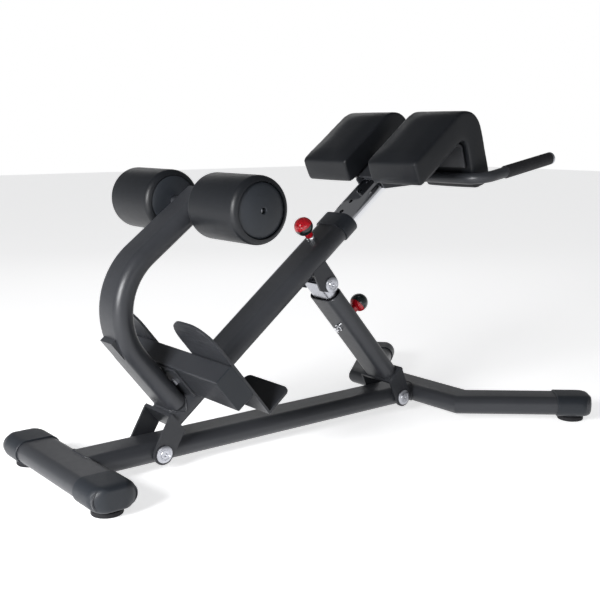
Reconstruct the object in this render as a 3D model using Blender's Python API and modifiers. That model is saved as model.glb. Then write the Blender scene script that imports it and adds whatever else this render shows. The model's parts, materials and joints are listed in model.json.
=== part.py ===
"""Roman chair: a free-standing back-extension bench.

Metres, +Z up, +X towards the handles, +Y to the user's left. The origin is on the floor, under the middle
of the whole object. Every moving piece hangs under an empty that lies on its joint.
"""

from math import asin, atan2, cos, degrees, hypot, pi, radians, sin, tan

import bmesh
import bpy
from mathutils import Matrix, Vector

# Clearances
GAP = 0.0003  # between pieces that touch
RUN = 0.0004  # round a shaft that turns
PIN_CLEAR = 0.0005  # between a pull pin's tip and the tube it locks

# Flat-oval tubes
TUBE_WIDE = 0.105
TUBE_DEEP = 0.050
TUBE_WALL = 0.003
SIDE_PLAY = 0.0075  # between an inner tube's round side and the wall round it
FACE_PLAY = 0.003  # between their broad faces
INNER_WALL = 0.0025
ROUND_STEPS = 9  # facets on each half-round side of a tube; odd, so that one facet faces sideways

# Base
FOOT_R = 0.0343
TUBE_LIFT = 0.019  # floor to the underside of the base tubes
REAR_FOOT_Y = 0.1916
FRONT_BAR_X = 1.0715
FRONT_BAR_HALF = 0.190
FRONT_FOOT_REACH = 0.2245  # from the front bar forwards
FRONT_FOOT_Y = 0.385
CAP_OVER = 0.0035  # an end cap stands this far proud of its tube
CAP_BACK = 0.045  # from the foot's centre back along the tube
CAP_FRONT = 0.050
CAP_CORNER = 0.038
CAP_WALL = 0.012  # beyond the tube's end
COPE = 0.018  # how far a butted tube wraps its neighbour's rounded side

# Pivots
REAR_PIVOT_X = 0.2135
FRONT_PIVOT_BACK = 0.0925  # from the front bar back
PIVOT_R = 0.010
BUSH_R = 0.0155
HEAD_R = 0.0205
HEAD_TALL = 0.0057
CHEEK_PLAY = 0.0015  # between a tube and a yoke's cheek
PLATE = 0.006
CHEEK_END_R = 0.026
WEB = 0.008

# Post, measured from the rear pivot: u along the post, w square to it
POST_TILT = 38.35
POST_FOOT = 0.0752
POST_TOP = 0.7665
POST_W = 0.0271
COLLAR_LONG = 0.045
COLLAR_OVER = 0.0038

# Inner tube and its carriage
SLIDE_FOOT = 0.435
SLIDE_OUT = 0.2335  # out of the top of the post
SLIDE_HOLE_PITCH = 0.040
PIN_BELOW_TOP = 0.1035
HOLE_R = 0.0065

# Roller arm and rollers
ARM_U = 0.1068
ARM_STRAIGHT = 0.1515  # from the post's face to the start of the bend
ARM_BEND_R = 0.1634
ARM_TURN = 91.3
AXLE_U = 0.4525
ARM_PAST_AXLE = 0.030
AXLE_R = 0.0125
ROLLER_R = 0.0746
ROLLER_IN = 0.079
ROLLER_OUT = 0.276
ROLLER_RIM = 0.017
FOAM_RING = 0.0146  # from the hub's edge out to the roller's
CORE_R = 0.020
GUSSET_START = 0.020  # above the start of the arm's bend
GUSSET_END = 0.0724
GUSSET_HALF = 0.026

# Foot platform
BOX_BEHIND = 0.0114  # from the arm's front face to the platform
BOX_LONG = 0.052
BOX_TALL = 0.092
BOX_HALF = 0.247
BOX_CAP = 0.004
BOX_CORNER = 0.0036
LEAF_HALF_IN = 0.083
LEAF_PLATE = 0.0060
LEAF_BELOW = 0.0686  # under the post's face
LEAF_ABOVE = 0.2027
LEAF_ROUND = 0.065
TOE_LONG = 0.076
TOE_ROUND = 0.018
BRACKET_HALF = 0.076
BRACKET_BOLT_Y = 0.034
BRACKET_BOLT_RISE = 0.0421  # above the post's face
HEX_R = 0.0098
HEX_TALL = 0.0050

# Strut, measured from the front pivot: s along the strut, d square to it, towards the rear
STRUT_FOOT = 0.0718
STRUT_SHORT = 0.0369  # the outer tube ends this far below the top pivot
STRUT_D = -0.0225
INNER_STRUT_LONG = 0.3004  # from the top pivot down
TOP_PIVOT_BELOW = 0.1548  # from the post's end back to the top pivot
TOP_PIVOT_DROP = 0.0510  # under the post
TOP_PIVOT_D = -0.0270
INNER_STRUT_PAST = 0.022
OPEN_PIVOT_CLEAR = 0.0050
TOP_PIVOT_R = 0.008
LOWER_PIN_DOWN = 0.1434  # below the top pivot
BRACKET_PLAY = 0.002  # between the inner strut and a bracket cheek
BRACKET_FRONT = 0.0231  # from the top pivot forwards to the cheek's edge
BRACKET_BELOW = 0.0111
BRACKET_HEEL = 0.0185  # back to the corner under the pivot
BRACKET_REAR = 0.0357
BRACKET_REAR_RISE = 0.0095
BRACKET_TOP_REAR = 0.0224
BRACKET_NOSE = 0.012

# Pull pins
PIN_R = 0.004
HOUSING_R = 0.0115
STUB_R = 0.006
RED_R = 0.0105
BALL_R = 0.0244
UPPER_RISE = 0.0482  # tube face to the ball's centre
LOWER_RISE = 0.0415
BALL_BORE = 0.008

# Hip pads: a sloping front arm and a hanging rear arm, in the post's u and w
PAD_IN = 0.040
PAD_OUT = 0.224
PAD_THICK = 0.0700
PAD_FRONT_BACK = 0.106  # from the inner tube's end back to the front face
PAD_NOSE = 0.019  # the front face leans back by this much from its foot to its top
PAD_APEX_PAST = 0.078  # from the inner tube's end on to the inside of the bend
REAR_ARM_THICK = 0.070
REAR_ARM_LONG = 0.1416  # from the inside of the bend
REAR_ARM_LEAN = -21.3  # from square to the post
APEX_R = 0.061
TAIL_R = 0.026
SOFT_R = 0.012

# Carrier and handle
CARRIER_PLATE = 0.005
CARRIER_PLAY = 0.0020  # between the inner tube and a carrier cheek
CHEEK_LONG = 0.090
CHEEK_ROUND = 0.006
PLATE_MARGIN = 0.020
PLATE_DROP = 0.076  # how far the bent plate reaches down the rear arm
HANDLE_R = 0.0143
HANDLE_PAST = 0.0205  # from the inner tube's end
HANDLE_W = -0.0334
HANDLE_BEND_Y = 0.262
HANDLE_BEND_R = 0.050
HANDLE_RISE = 9.8
HANDLE_LONG = 0.284
GRIP_R = 0.0168
GRIP_LONG = 0.185
PLUG_LONG = 0.008

# Worked out from the values above
RAIL_Z = TUBE_LIFT + TUBE_DEEP / 2
HALF_WIDE = TUBE_WIDE / 2
HALF_DEEP = TUBE_DEEP / 2
INNER_WIDE = TUBE_WIDE - 2 * (TUBE_WALL + SIDE_PLAY)
INNER_DEEP = TUBE_DEEP - 2 * (TUBE_WALL + FACE_PLAY)
FOOT_TALL = TUBE_LIFT - CAP_OVER - GAP
FRONT_FOOT_X = FRONT_BAR_X + FRONT_FOOT_REACH
FRONT_PIVOT_X = FRONT_BAR_X - FRONT_PIVOT_BACK
CHEEK_IN = HALF_WIDE + CHEEK_PLAY  # inner face of a yoke's cheek
CHEEK_OUT = CHEEK_IN + PLATE
POST_FACE = POST_W + HALF_DEEP
POST_UNDER = POST_W - HALF_DEEP
PIN_U = POST_TOP - PIN_BELOW_TOP
SLIDE_TOP = POST_TOP + SLIDE_OUT
PAD_W = POST_W + INNER_DEEP / 2 + CARRIER_PLATE + 3 * GAP  # underside of the front arm
PAD_FRONT_U = SLIDE_TOP - PAD_FRONT_BACK
PAD_APEX_U = SLIDE_TOP + PAD_APEX_PAST
CARRIER_Y = INNER_WIDE / 2 + CARRIER_PLAY + CARRIER_PLATE / 2
HANDLE_U = SLIDE_TOP + HANDLE_PAST
ARM_BEND_W = POST_FACE + ARM_STRAIGHT
LEAF_LOW = POST_FACE - LEAF_BELOW
LEAF_HIGH = POST_FACE + LEAF_ABOVE
BRACKET_BOLT_W = POST_FACE + BRACKET_BOLT_RISE
BRACKET_IN = INNER_WIDE / 2 + BRACKET_PLAY
TOP_PIVOT_U = POST_TOP - TOP_PIVOT_BELOW
TOP_PIVOT_W = POST_UNDER - TOP_PIVOT_DROP
HUB_R = ROLLER_R - FOAM_RING
BOX_U = ARM_U + HALF_DEEP + BOX_BEHIND
LEG_ANGLE = atan2(FRONT_FOOT_Y - FRONT_BAR_HALF, FRONT_FOOT_X - FRONT_BAR_X)
BOX_W = POST_FACE + GAP + BOX_TALL / 2
ARM_BEND_U = ARM_U + ARM_BEND_R



def strut_line():
    """The strut's lean in degrees, and how far along it the top pivot is, from where its two pivots are."""
    lean = radians(POST_TILT)
    x = REAR_PIVOT_X + TOP_PIVOT_U * cos(lean) - TOP_PIVOT_W * sin(lean) - FRONT_PIVOT_X
    z = TOP_PIVOT_U * sin(lean) + TOP_PIVOT_W * cos(lean)
    reach = hypot(x, z)
    return degrees(atan2(z, x) - asin(TOP_PIVOT_D / reach)), (reach**2 - TOP_PIVOT_D**2) ** 0.5


STRUT_TILT, TOP_PIVOT_S = strut_line()
STRUT_TOP = TOP_PIVOT_S - STRUT_SHORT
INNER_STRUT_FOOT = TOP_PIVOT_S - INNER_STRUT_LONG
LOWER_PIN_S = TOP_PIVOT_S - LOWER_PIN_DOWN

# Directions a drawn outline can face: its own Z, along which it is extruded, goes to
UP_Z = (0, 0, 0)
TO_X = (pi / 2, 0, pi / 2)  # outline x to Y, outline y to Z
TO_MINUS_Y = (pi / 2, 0, 0)  # outline x to X, outline y to Z

PAINT = ((0.045, 0.047, 0.052), 0.42, 0.3)
PLASTIC = ((0.020, 0.023, 0.028), 0.55, 0.0)
RUBBER = ((0.015, 0.015, 0.017), 0.75, 0.0)
FOAM = ((0.018, 0.019, 0.023), 0.50, 0.0)
VINYL = ((0.012, 0.012, 0.014), 0.48, 0.0)
CHROME = ((0.70, 0.71, 0.73), 0.12, 1.0)
ZINC = ((0.52, 0.53, 0.56), 0.35, 1.0)
RED = ((0.55, 0.01, 0.02), 0.25, 0.0)
GLOSS_BLACK = ((0.012, 0.015, 0.016), 0.15, 0.0)


def clear_scene():
    for thing in list(bpy.data.objects):
        bpy.data.objects.remove(thing, do_unlink=True)


def new_collection(name, hidden=False):
    group = bpy.data.collections.new(name)
    bpy.context.scene.collection.children.link(group)
    group.hide_render = hidden
    return group


clear_scene()
PARTS = new_collection("roman_chair")
CUTTERS = new_collection("cutters", hidden=True)


def frame(name, parent=None, at=(0, 0, 0), turn=(0, 0, 0)):
    """An empty that carries the pieces of one body."""
    empty = bpy.data.objects.new(name, None)
    PARTS.objects.link(empty)
    empty.parent = parent
    empty.location = at
    empty.rotation_euler = turn
    empty.empty_display_size = 0.04
    return empty


def finish_of(name, look):
    colour, roughness, metallic = look
    material = bpy.data.materials.new(name)
    material.use_nodes = True
    shader = material.node_tree.nodes["Principled BSDF"]
    shader.inputs["Base Color"].default_value = (*colour, 1)
    shader.inputs["Roughness"].default_value = roughness
    shader.inputs["Metallic"].default_value = metallic
    return material


def place(name, mesh, parent, look, at=(0, 0, 0), turn=(0, 0, 0)):
    """A named piece from a mesh. A piece without a look is a cutter."""
    piece = bpy.data.objects.new(name, mesh)
    piece.parent = parent
    piece.location = at
    piece.rotation_euler = turn
    if look is None:
        CUTTERS.objects.link(piece)
        piece.hide_render = True
        piece.display_type = "WIRE"
        return piece
    PARTS.objects.link(piece)
    mesh.materials.append(finish_of(name, look))
    mesh.shade_smooth()
    mesh.set_sharp_from_angle(angle=radians(32))
    return piece


def mesh_from(data):
    """The closed mesh of a curve, or of a mesh with a modifier, on a throw-away object."""
    source = data
    if not isinstance(data, bpy.types.Object):
        source = bpy.data.objects.new("draft", data)
        bpy.context.scene.collection.objects.link(source)
    graph = bpy.context.evaluated_depsgraph_get()
    graph.update()
    mesh = bpy.data.meshes.new_from_object(source.evaluated_get(graph))
    bpy.data.objects.remove(source, do_unlink=True)
    shape = bmesh.new()
    shape.from_mesh(mesh)
    bmesh.ops.remove_doubles(shape, verts=shape.verts, dist=1e-6)
    bmesh.ops.recalc_face_normals(shape, faces=shape.faces)
    shape.to_mesh(mesh)
    shape.free()
    return mesh


def arc(x, y, radius, start, end, steps):
    """Points round a circle, from one angle to another, in degrees."""
    turns = [radians(start + (end - start) * step / steps) for step in range(steps + 1)]
    return [(x + radius * cos(turn), y + radius * sin(turn)) for turn in turns]


def flat_oval(wide, deep, grow=0.0, steps=ROUND_STEPS):
    """A racetrack outline, wide along x and deep along y."""
    radius = deep / 2 + grow
    reach = (wide - deep) / 2
    return arc(reach, 0, radius, -90, 90, steps) + arc(-reach, 0, radius, 90, 270, steps)


def circle(x, y, radius, steps=20):
    return arc(x, y, radius, 0, 360, steps)[:-1]


def around(*discs, steps=20):
    """The outline of a tight band round some discs, each (x, y, radius)."""
    points = []
    for x, y, radius in discs:
        points += circle(x, y, radius, steps) if radius else [(x, y)]
    points.sort()

    def chain(row):
        kept = []
        for px, py in row:
            while len(kept) > 1:
                (ax, ay), (bx, by) = kept[-2:]
                if (bx - ax) * (py - ay) - (by - ay) * (px - ax) > 1e-12:
                    break
                kept.pop()
            kept.append((px, py))
        return kept[:-1]

    return chain(points) + chain(points[::-1])


def rounded(corners, steps=6):
    """An outline through corners, each (x, y, radius of its rounding)."""
    outline = []
    for index, (x, y, radius) in enumerate(corners):
        here = Vector((x, y))
        before = (Vector(corners[index - 1][:2]) - here).normalized()
        after = (Vector(corners[(index + 1) % len(corners)][:2]) - here).normalized()
        if not radius:
            outline.append((x, y))
            continue
        half = before.angle(after) / 2
        middle = here + (before + after).normalized() * radius / sin(half)
        start = here + before * radius * cos(half) / sin(half) - middle
        sweep = (pi - 2 * half) * (1 if before.cross(after) < 0 else -1)
        first = atan2(start.y, start.x)
        for step in range(steps + 1):
            turn = first + sweep * step / steps
            outline.append((middle.x + radius * cos(turn), middle.y + radius * sin(turn)))
    return outline


def prism(name, outlines, low, high, parent, look, at=(0, 0, 0), turn=UP_Z, edge=0.0):
    """A flat outline, with any holes after it, extruded along its own Z and turned into place."""
    curve = bpy.data.curves.new(name, "CURVE")
    curve.dimensions = "2D"
    curve.fill_mode = "BOTH"
    curve.extrude = (high - low) / 2
    for outline in outlines:
        spline = curve.splines.new("POLY")
        spline.points.add(len(outline) - 1)
        for point, (x, y) in zip(spline.points, outline):
            point.co = (x, y, 0, 1)
        spline.use_cyclic_u = True
    mesh = mesh_from(curve)
    mesh.transform(Matrix.Translation((0, 0, (low + high) / 2)))
    piece = place(name, mesh, parent, look, at, turn)
    if edge:
        soften(piece, edge)
    return piece


def soften(piece, width, segments=2):
    bevel = piece.modifiers.new("edge", "BEVEL")
    bevel.width = width
    bevel.segments = segments
    bevel.limit_method = "ANGLE"
    bevel.angle_limit = radians(50)


def turned(name, profile, parent, look, at=(0, 0, 0), turn=UP_Z, steps=32):
    """A profile of (radius, height) points spun round its own Z; a ring's profile is closed."""
    rows = bmesh.new()
    points = [rows.verts.new((radius, 0, height)) for radius, height in profile]
    for first, second in zip(points, points[1:]):
        rows.edges.new((first, second))
    if profile[0][0] > 0 or profile[-1][0] > 0:
        rows.edges.new((points[-1], points[0]))
    mesh = bpy.data.meshes.new(name)
    rows.to_mesh(mesh)
    rows.free()
    draft = bpy.data.objects.new("draft", mesh)
    bpy.context.scene.collection.objects.link(draft)
    spin = draft.modifiers.new("spin", "SCREW")
    spin.steps = steps
    spin.render_steps = steps
    spin.use_merge_vertices = True
    spin.merge_threshold = 1e-5
    return place(name, mesh_from(draft), parent, look, at, turn)


def rod(name, radius, low, high, parent, look, at=(0, 0, 0), turn=UP_Z, steps=24):
    return turned(name, [(0, high), (radius, high), (radius, low), (0, low)], parent, look, at, turn, steps)


def block(name, size, parent, look, at, turn=UP_Z):
    shape = bmesh.new()
    bmesh.ops.create_cube(shape, size=1)
    bmesh.ops.scale(shape, vec=size, verts=shape.verts)
    mesh = bpy.data.meshes.new(name)
    shape.to_mesh(mesh)
    shape.free()
    return place(name, mesh, parent, look, at, turn)


def combine(piece, other, operation):
    step = piece.modifiers.new(operation.lower(), "BOOLEAN")
    step.operation = operation
    step.solver = "EXACT"
    step.object = other


def cut(piece, *cutters):
    for cutter in cutters:
        combine(piece, cutter, "DIFFERENCE")


def join(piece, *others):
    for other in others:
        combine(piece, other, "UNION")


def tube(name, low, high, parent, look, at=(0, 0, 0), turn=TO_X, size=(TUBE_WIDE, TUBE_DEEP), wall=TUBE_WALL):
    outlines = [flat_oval(*size), flat_oval(*size, grow=-wall)]
    return prism(name, outlines, low, high, parent, look, at, turn)


def swept(name, section, path, parent, look, wall=0.0, closed_end=False):
    """A section carried along a path of points, hollow when it has a wall."""
    outline = bpy.data.curves.new("section", "CURVE")
    outline.dimensions = "2D"
    ring = outline.splines.new("POLY")
    ring.points.add(len(section) - 1)
    for point, (x, y) in zip(ring.points, section):
        point.co = (x, y, 0, 1)
    ring.use_cyclic_u = True
    ring_object = bpy.data.objects.new("section", outline)
    bpy.context.scene.collection.objects.link(ring_object)
    curve = bpy.data.curves.new(name, "CURVE")
    curve.dimensions = "3D"
    curve.twist_mode = "MINIMUM"
    curve.bevel_mode = "OBJECT"
    curve.bevel_object = ring_object
    curve.use_fill_caps = not wall
    line = curve.splines.new("POLY")
    line.points.add(len(path) - 1)
    for point, place_at in zip(line.points, path):
        point.co = (*place_at, 1)
    mesh = mesh_from(curve)
    bpy.data.objects.remove(ring_object, do_unlink=True)
    if closed_end:
        shape = bmesh.new()
        shape.from_mesh(mesh)
        rim = [edge for edge in shape.edges if edge.is_boundary]
        far = [edge for edge in rim if (edge.verts[0].co - Vector(path[-1])).length < TUBE_WIDE]
        bmesh.ops.edgeloop_fill(shape, edges=far)
        bmesh.ops.recalc_face_normals(shape, faces=shape.faces)
        shape.to_mesh(mesh)
        shape.free()
    piece = place(name, mesh, parent, look)
    if wall:
        shell = piece.modifiers.new("wall", "SOLIDIFY")
        shell.thickness = wall
        shell.offset = -1
        shell.use_even_offset = True
    return piece


# ---------------------------------------------------------------- base


def end_cap(name, foot, heading, parent):
    """A moulded boot on a base tube's end; heading is the tube's outward direction, in radians."""
    seat = frame(name + "_seat", parent, (*foot, RAIL_Z), (0, 0, heading))
    outside = [flat_oval(TUBE_WIDE, TUBE_DEEP, CAP_OVER, 7)]
    cap = prism(name, outside, -CAP_BACK, CAP_FRONT, seat, PLASTIC, turn=TO_X)
    half = HALF_WIDE + CAP_OVER + GAP
    corners = [
        (-CAP_BACK - GAP, -half, 0),
        (CAP_FRONT, -half, CAP_CORNER),
        (CAP_FRONT, half, CAP_CORNER),
        (-CAP_BACK - GAP, half, 0),
    ]
    plan = prism(name + "_plan", [rounded(corners, 6)], -HALF_WIDE, HALF_WIDE, seat, None)
    combine(cap, plan, "INTERSECT")
    hollow = prism(
        name + "_hollow",
        [flat_oval(TUBE_WIDE, TUBE_DEEP, GAP)],
        -CAP_BACK - CAP_WALL,
        CAP_FRONT - CAP_WALL + GAP,
        seat,
        None,
        turn=TO_X,
    )
    cut(cap, hollow)
    return cap


def rubber_foot(name, foot, parent):
    top = FOOT_TALL
    profile = [
        (0, top),
        (FOOT_R - 0.004, top),
        (FOOT_R - 0.004, top - 0.0025),
        (FOOT_R - 0.0015, top - 0.0035),
        (FOOT_R, top - 0.005),
        (FOOT_R, 0.002),
        (FOOT_R - 0.002, 0),
        (0, 0),
    ]
    return turned(name, profile, parent, RUBBER, (*foot, 0), steps=20)


def cope_cutter(name, x, parent):
    """The outer shape of a crossbar, which a butted rail is cut to."""
    outline = [flat_oval(TUBE_WIDE, TUBE_DEEP, GAP)]
    return prism(name, outline, -HALF_WIDE - 0.01, HALF_WIDE + 0.01, parent, None, (x, 0, RAIL_Z), TO_MINUS_Y)


def base(root):
    reach = REAR_FOOT_Y + CAP_FRONT - CAP_WALL
    tube("rear_crossbar", -reach, reach, root, PAINT, (0, 0, RAIL_Z), TO_MINUS_Y)
    inset = HALF_WIDE - COPE
    rail = tube("main_rail", inset, FRONT_BAR_X - inset, root, PAINT, (0, 0, RAIL_Z))
    cut(rail, cope_cutter("rear_cope", 0, root), cope_cutter("front_cope", FRONT_BAR_X, root))
    for where, x in (("rear", REAR_PIVOT_X), ("front", FRONT_PIVOT_X)):
        seat = (x, 0, RAIL_Z)
        past = HALF_WIDE + 0.01
        hole = rod(where + "_bush_hole", BUSH_R + GAP, -past, past, root, None, seat, TO_MINUS_Y)
        cut(rail, hole)
        half = CHEEK_IN - GAP
        bore = PIVOT_R + RUN
        ring = [(BUSH_R, half), (BUSH_R, -half), (bore, -half), (bore, half)]
        turned(where + "_pivot_bush", ring, root, ZINC, seat, TO_MINUS_Y)
        pivot_bolt(where + "_pivot_bolt", PIVOT_R, CHEEK_OUT + GAP, root, seat)
    front_bar(root)
    for side, sign in (("left", 1), ("right", -1)):
        rear = (0, sign * REAR_FOOT_Y)
        front = (FRONT_FOOT_X, sign * FRONT_FOOT_Y)
        end_cap(f"rear_{side}_end_cap", rear, sign * pi / 2, root)
        end_cap(f"front_{side}_end_cap", front, sign * LEG_ANGLE, root)
        rubber_foot(f"rear_{side}_foot", rear, root)
        rubber_foot(f"front_{side}_foot", front, root)


def pivot_bolt(name, radius, grip, parent, at):
    """A shouldered bolt along Y with a ringed head on each side of its grip."""
    ring = HEAD_R * 0.62
    rim = grip + HEAD_TALL
    half = [
        (0, rim - 0.0008),
        (ring * 0.5, rim - 0.0008),
        (ring * 0.5, rim),
        (ring, rim),
        (ring, rim - 0.0015),
        (HEAD_R - 0.001, rim - 0.0015),
        (HEAD_R, rim - 0.0027),
        (HEAD_R, grip),
        (radius, grip),
    ]
    profile = half + [(r, -h) for r, h in reversed(half)]
    return turned(name, profile, parent, ZINC, at, TO_MINUS_Y, steps=20)


def front_bar(root):
    """The front crossbar and the two legs mitred to its ends."""
    bar = tube("front_crossbar", -FRONT_BAR_HALF - HALF_WIDE, FRONT_BAR_HALF + HALF_WIDE, root, PAINT,
               (FRONT_BAR_X, 0, RAIL_Z), TO_MINUS_Y)
    reach = hypot(FRONT_FOOT_X - FRONT_BAR_X, FRONT_FOOT_Y - FRONT_BAR_HALF) + CAP_FRONT - CAP_WALL
    slab = 0.3
    for side, sign in (("left", 1), ("right", -1)):
        corner = (FRONT_BAR_X, sign * FRONT_BAR_HALF, RAIL_Z)
        knee = frame(f"{side}_leg_start", root, corner, (0, 0, sign * LEG_ANGLE))
        leg = tube(f"{side}_front_leg", -HALF_WIDE, reach, knee, PAINT)
        mitre = frame(f"{side}_mitre", root, corner, (0, 0, sign * (LEG_ANGLE + pi / 2) / 2))
        past = (slab - GAP) / 2
        cut(bar, block(f"{side}_bar_mitre", (slab, slab, slab), mitre, None, (past, 0, 0)))
        cut(leg, block(f"{side}_leg_mitre", (slab, slab, slab), mitre, None, (-past, 0, 0)))


# ---------------------------------------------------------------- post


def yoke(name, foot, centre, parent):
    """A web across the end of a tube, and two cheeks that reach back to the pivot at the frame's origin."""
    low, high = centre - HALF_DEEP, centre + HALF_DEEP
    web = block(name, (WEB, 2 * CHEEK_OUT, TUBE_DEEP + 0.006), parent, PAINT,
                (foot - GAP - WEB / 2, 0, centre))
    corner = 0.002
    outline = around(
        (foot - GAP - corner, high + 0.003 - corner, corner),
        (foot - GAP - WEB + corner, high + 0.003 - corner, corner),
        (foot - GAP - corner, low - 0.003 + corner, corner),
        (0, 0, CHEEK_END_R),
    )
    hole = circle(0, 0, PIVOT_R + RUN, 32)
    for side in (1, -1):
        middle = side * (CHEEK_IN + PLATE / 2)
        cheek = prism(f"{name}_cheek_{side + 1}", [outline, hole], -PLATE / 2, PLATE / 2, parent, None,
                      (0, middle, 0), TO_MINUS_Y)
        join(web, cheek)
    return web


def post(lift):
    yoke("rear_yoke", POST_FOOT, POST_W, lift)
    body = tube("main_post", POST_FOOT, POST_TOP, lift, PAINT, (0, 0, POST_W))
    cut(body, rod("upper_pin_hole", STUB_R + GAP, -TUBE_WALL * 2, TUBE_WALL * 2, lift, None,
                  (PIN_U, 0, POST_FACE)))
    size = (INNER_WIDE, INNER_DEEP)
    collar = prism("post_collar", [flat_oval(TUBE_WIDE, TUBE_DEEP, COLLAR_OVER), flat_oval(*size, grow=GAP)],
                   POST_TOP + TUBE_WALL + GAP - COLLAR_LONG, POST_TOP + TUBE_WALL + GAP, lift, PLASTIC,
                   (0, 0, POST_W), TO_X)
    slot = [flat_oval(TUBE_WIDE, TUBE_DEEP, GAP), flat_oval(TUBE_WIDE, TUBE_DEEP, -TUBE_WALL - GAP)]
    cut(collar, prism("collar_slot", slot, POST_TOP - COLLAR_LONG, POST_TOP + GAP, lift, None,
                      (0, 0, POST_W), TO_X))
    strut_bracket(lift)
    roller_arm(lift)
    platform(lift)


def strut_bracket(lift):
    """The bracket that the strut's top pivots in: a base under the post and two cheeks coped to its sides."""
    rear, front = TOP_PIVOT_U - BRACKET_TOP_REAR, TOP_PIVOT_U + BRACKET_FRONT
    low = TOP_PIVOT_W - BRACKET_BELOW
    corner = 0.002
    cheek = around(
        (front, POST_W, 0),
        (front - BRACKET_NOSE, low + BRACKET_NOSE, BRACKET_NOSE),
        (TOP_PIVOT_U - BRACKET_HEEL + corner, low + corner, corner),
        (TOP_PIVOT_U - BRACKET_REAR + corner, TOP_PIVOT_W + BRACKET_REAR_RISE + corner, corner),
        (rear, POST_W, 0),
    )
    hole = circle(TOP_PIVOT_U, TOP_PIVOT_W, TOP_PIVOT_R + GAP, 32)
    floor = block("strut_bracket", (front - rear, 2 * BRACKET_IN + PLATE, PLATE), lift, PAINT,
                  ((front + rear) / 2, 0, POST_UNDER - GAP - PLATE / 2))
    for side in (1, -1):
        middle = side * (BRACKET_IN + PLATE / 2)
        join(floor, prism(f"strut_bracket_side_{side + 1}", [cheek, hole], -PLATE / 2, PLATE / 2, lift, None,
                          (0, middle, 0), TO_MINUS_Y))
    cope = [flat_oval(TUBE_WIDE, TUBE_DEEP, GAP)]
    cut(floor, prism("bracket_cope", cope, rear - WEB, front + WEB, lift, None, (0, 0, POST_W), TO_X))
    pivot = (TOP_PIVOT_U, 0, TOP_PIVOT_W)
    pivot_bolt("top_pivot_bolt", TOP_PIVOT_R, BRACKET_IN + PLATE + GAP, lift, pivot)


def roller_arm(lift):
    """The curved arm, its back plate, the axle and the rollers."""
    start = POST_FACE + GAP
    bend = arc(ARM_BEND_U, ARM_BEND_W, ARM_BEND_R, 180, 180 - ARM_TURN, 9)
    last_u, last_w = bend[-1]
    slope = radians(90 - ARM_TURN)
    axle_w = last_w + (AXLE_U - last_u) * sin(slope) / cos(slope)
    end_u = AXLE_U + ARM_PAST_AXLE
    end_w = last_w + (end_u - last_u) * sin(slope) / cos(slope)
    path = [(ARM_U, 0, start)] + [(u, 0, w) for u, w in bend] + [(end_u, 0, end_w)]
    section = [(-y, x) for x, y in flat_oval(TUBE_WIDE, TUBE_DEEP)]
    arm = swept("roller_arm", section, path, lift, PAINT, TUBE_WALL, closed_end=True)
    at = (AXLE_U, 0, axle_w)
    cut(arm, rod("axle_hole", AXLE_R + GAP, -HALF_WIDE - 0.01, HALF_WIDE + 0.01, lift, None, at, TO_MINUS_Y))
    half = ROLLER_OUT - 0.020
    rod("roller_axle", AXLE_R, -half, half, lift, ZINC, at, TO_MINUS_Y)
    back = ARM_BEND_R + HALF_DEEP + GAP
    low, high = (degrees(asin(rise / back)) for rise in (GUSSET_START, GUSSET_END))
    rear = ARM_U - HALF_DEEP
    outline = arc(ARM_BEND_U, ARM_BEND_W, back, 180 - low, 180 - high, 6)
    outline += [(rear, ARM_BEND_W + GUSSET_END), (rear, ARM_BEND_W + GUSSET_START)]
    prism("arm_gusset_plate", [outline], -GUSSET_HALF, GUSSET_HALF, lift, PAINT, turn=TO_MINUS_Y)
    for side, sign in (("left", 1), ("right", -1)):
        facing = (-sign * pi / 2, 0, 0)
        spin = frame(f"{side}_roller_spin", lift, at, facing)
        roller(side, spin)


def roller(side, spin):
    """A foam sleeve on a moulded hub with a domed disc at each end, drawn outwards along the axle."""
    bore = AXLE_R + RUN
    inner, outer = ROLLER_IN, ROLLER_OUT
    disc_edge = outer - 0.010
    disc_back = outer - 0.016
    inner_edge = inner + 0.007
    inner_back = inner + 0.012
    rise = outer + 0.001 - disc_edge
    dome = [(HUB_R * f, disc_edge + rise * (1 - f * f)) for f in (0.10, 0.35, 0.6, 0.8, 1.0)]
    inner_rise = inner_edge - inner
    inner_dome = [(bore + (HUB_R - bore) * f, inner_edge - inner_rise * (1 - f * f)) for f in (1, 0.7, 0.35, 0)]
    hub = (
        dome
        + [(HUB_R, disc_back), (CORE_R, disc_back), (CORE_R, inner_back), (HUB_R, inner_back)]
        + inner_dome
        + [(bore, outer - 0.018), (HUB_R * 0.10, outer - 0.018)]
    )
    turned(f"{side}_roller_hub", hub, spin, PLASTIC, steps=24)
    rim = ROLLER_RIM
    throat = HUB_R + 0.0018
    outside = [(r, h) for r, h in arc(ROLLER_R - rim, outer - 0.003 - rim, rim, 60, 0, 3)]
    inside = [(r, h) for r, h in arc(ROLLER_R - rim, inner + 0.003 + rim, rim, 0, -60, 3)]
    foam = (
        [(throat, disc_back - 0.001), (throat, outer - 0.0055)]
        + outside
        + inside
        + [(throat, inner + 0.0055), (throat, inner_back + 0.001)]
        + [(throat, inner_back + GAP), (CORE_R + GAP, inner_back + GAP)]
        + [(CORE_R + GAP, disc_back - GAP), (throat, disc_back - GAP)]
    )
    turned(f"{side}_roller_foam", foam[1:-5] + foam[-4:], spin, FOAM, steps=28)


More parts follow.
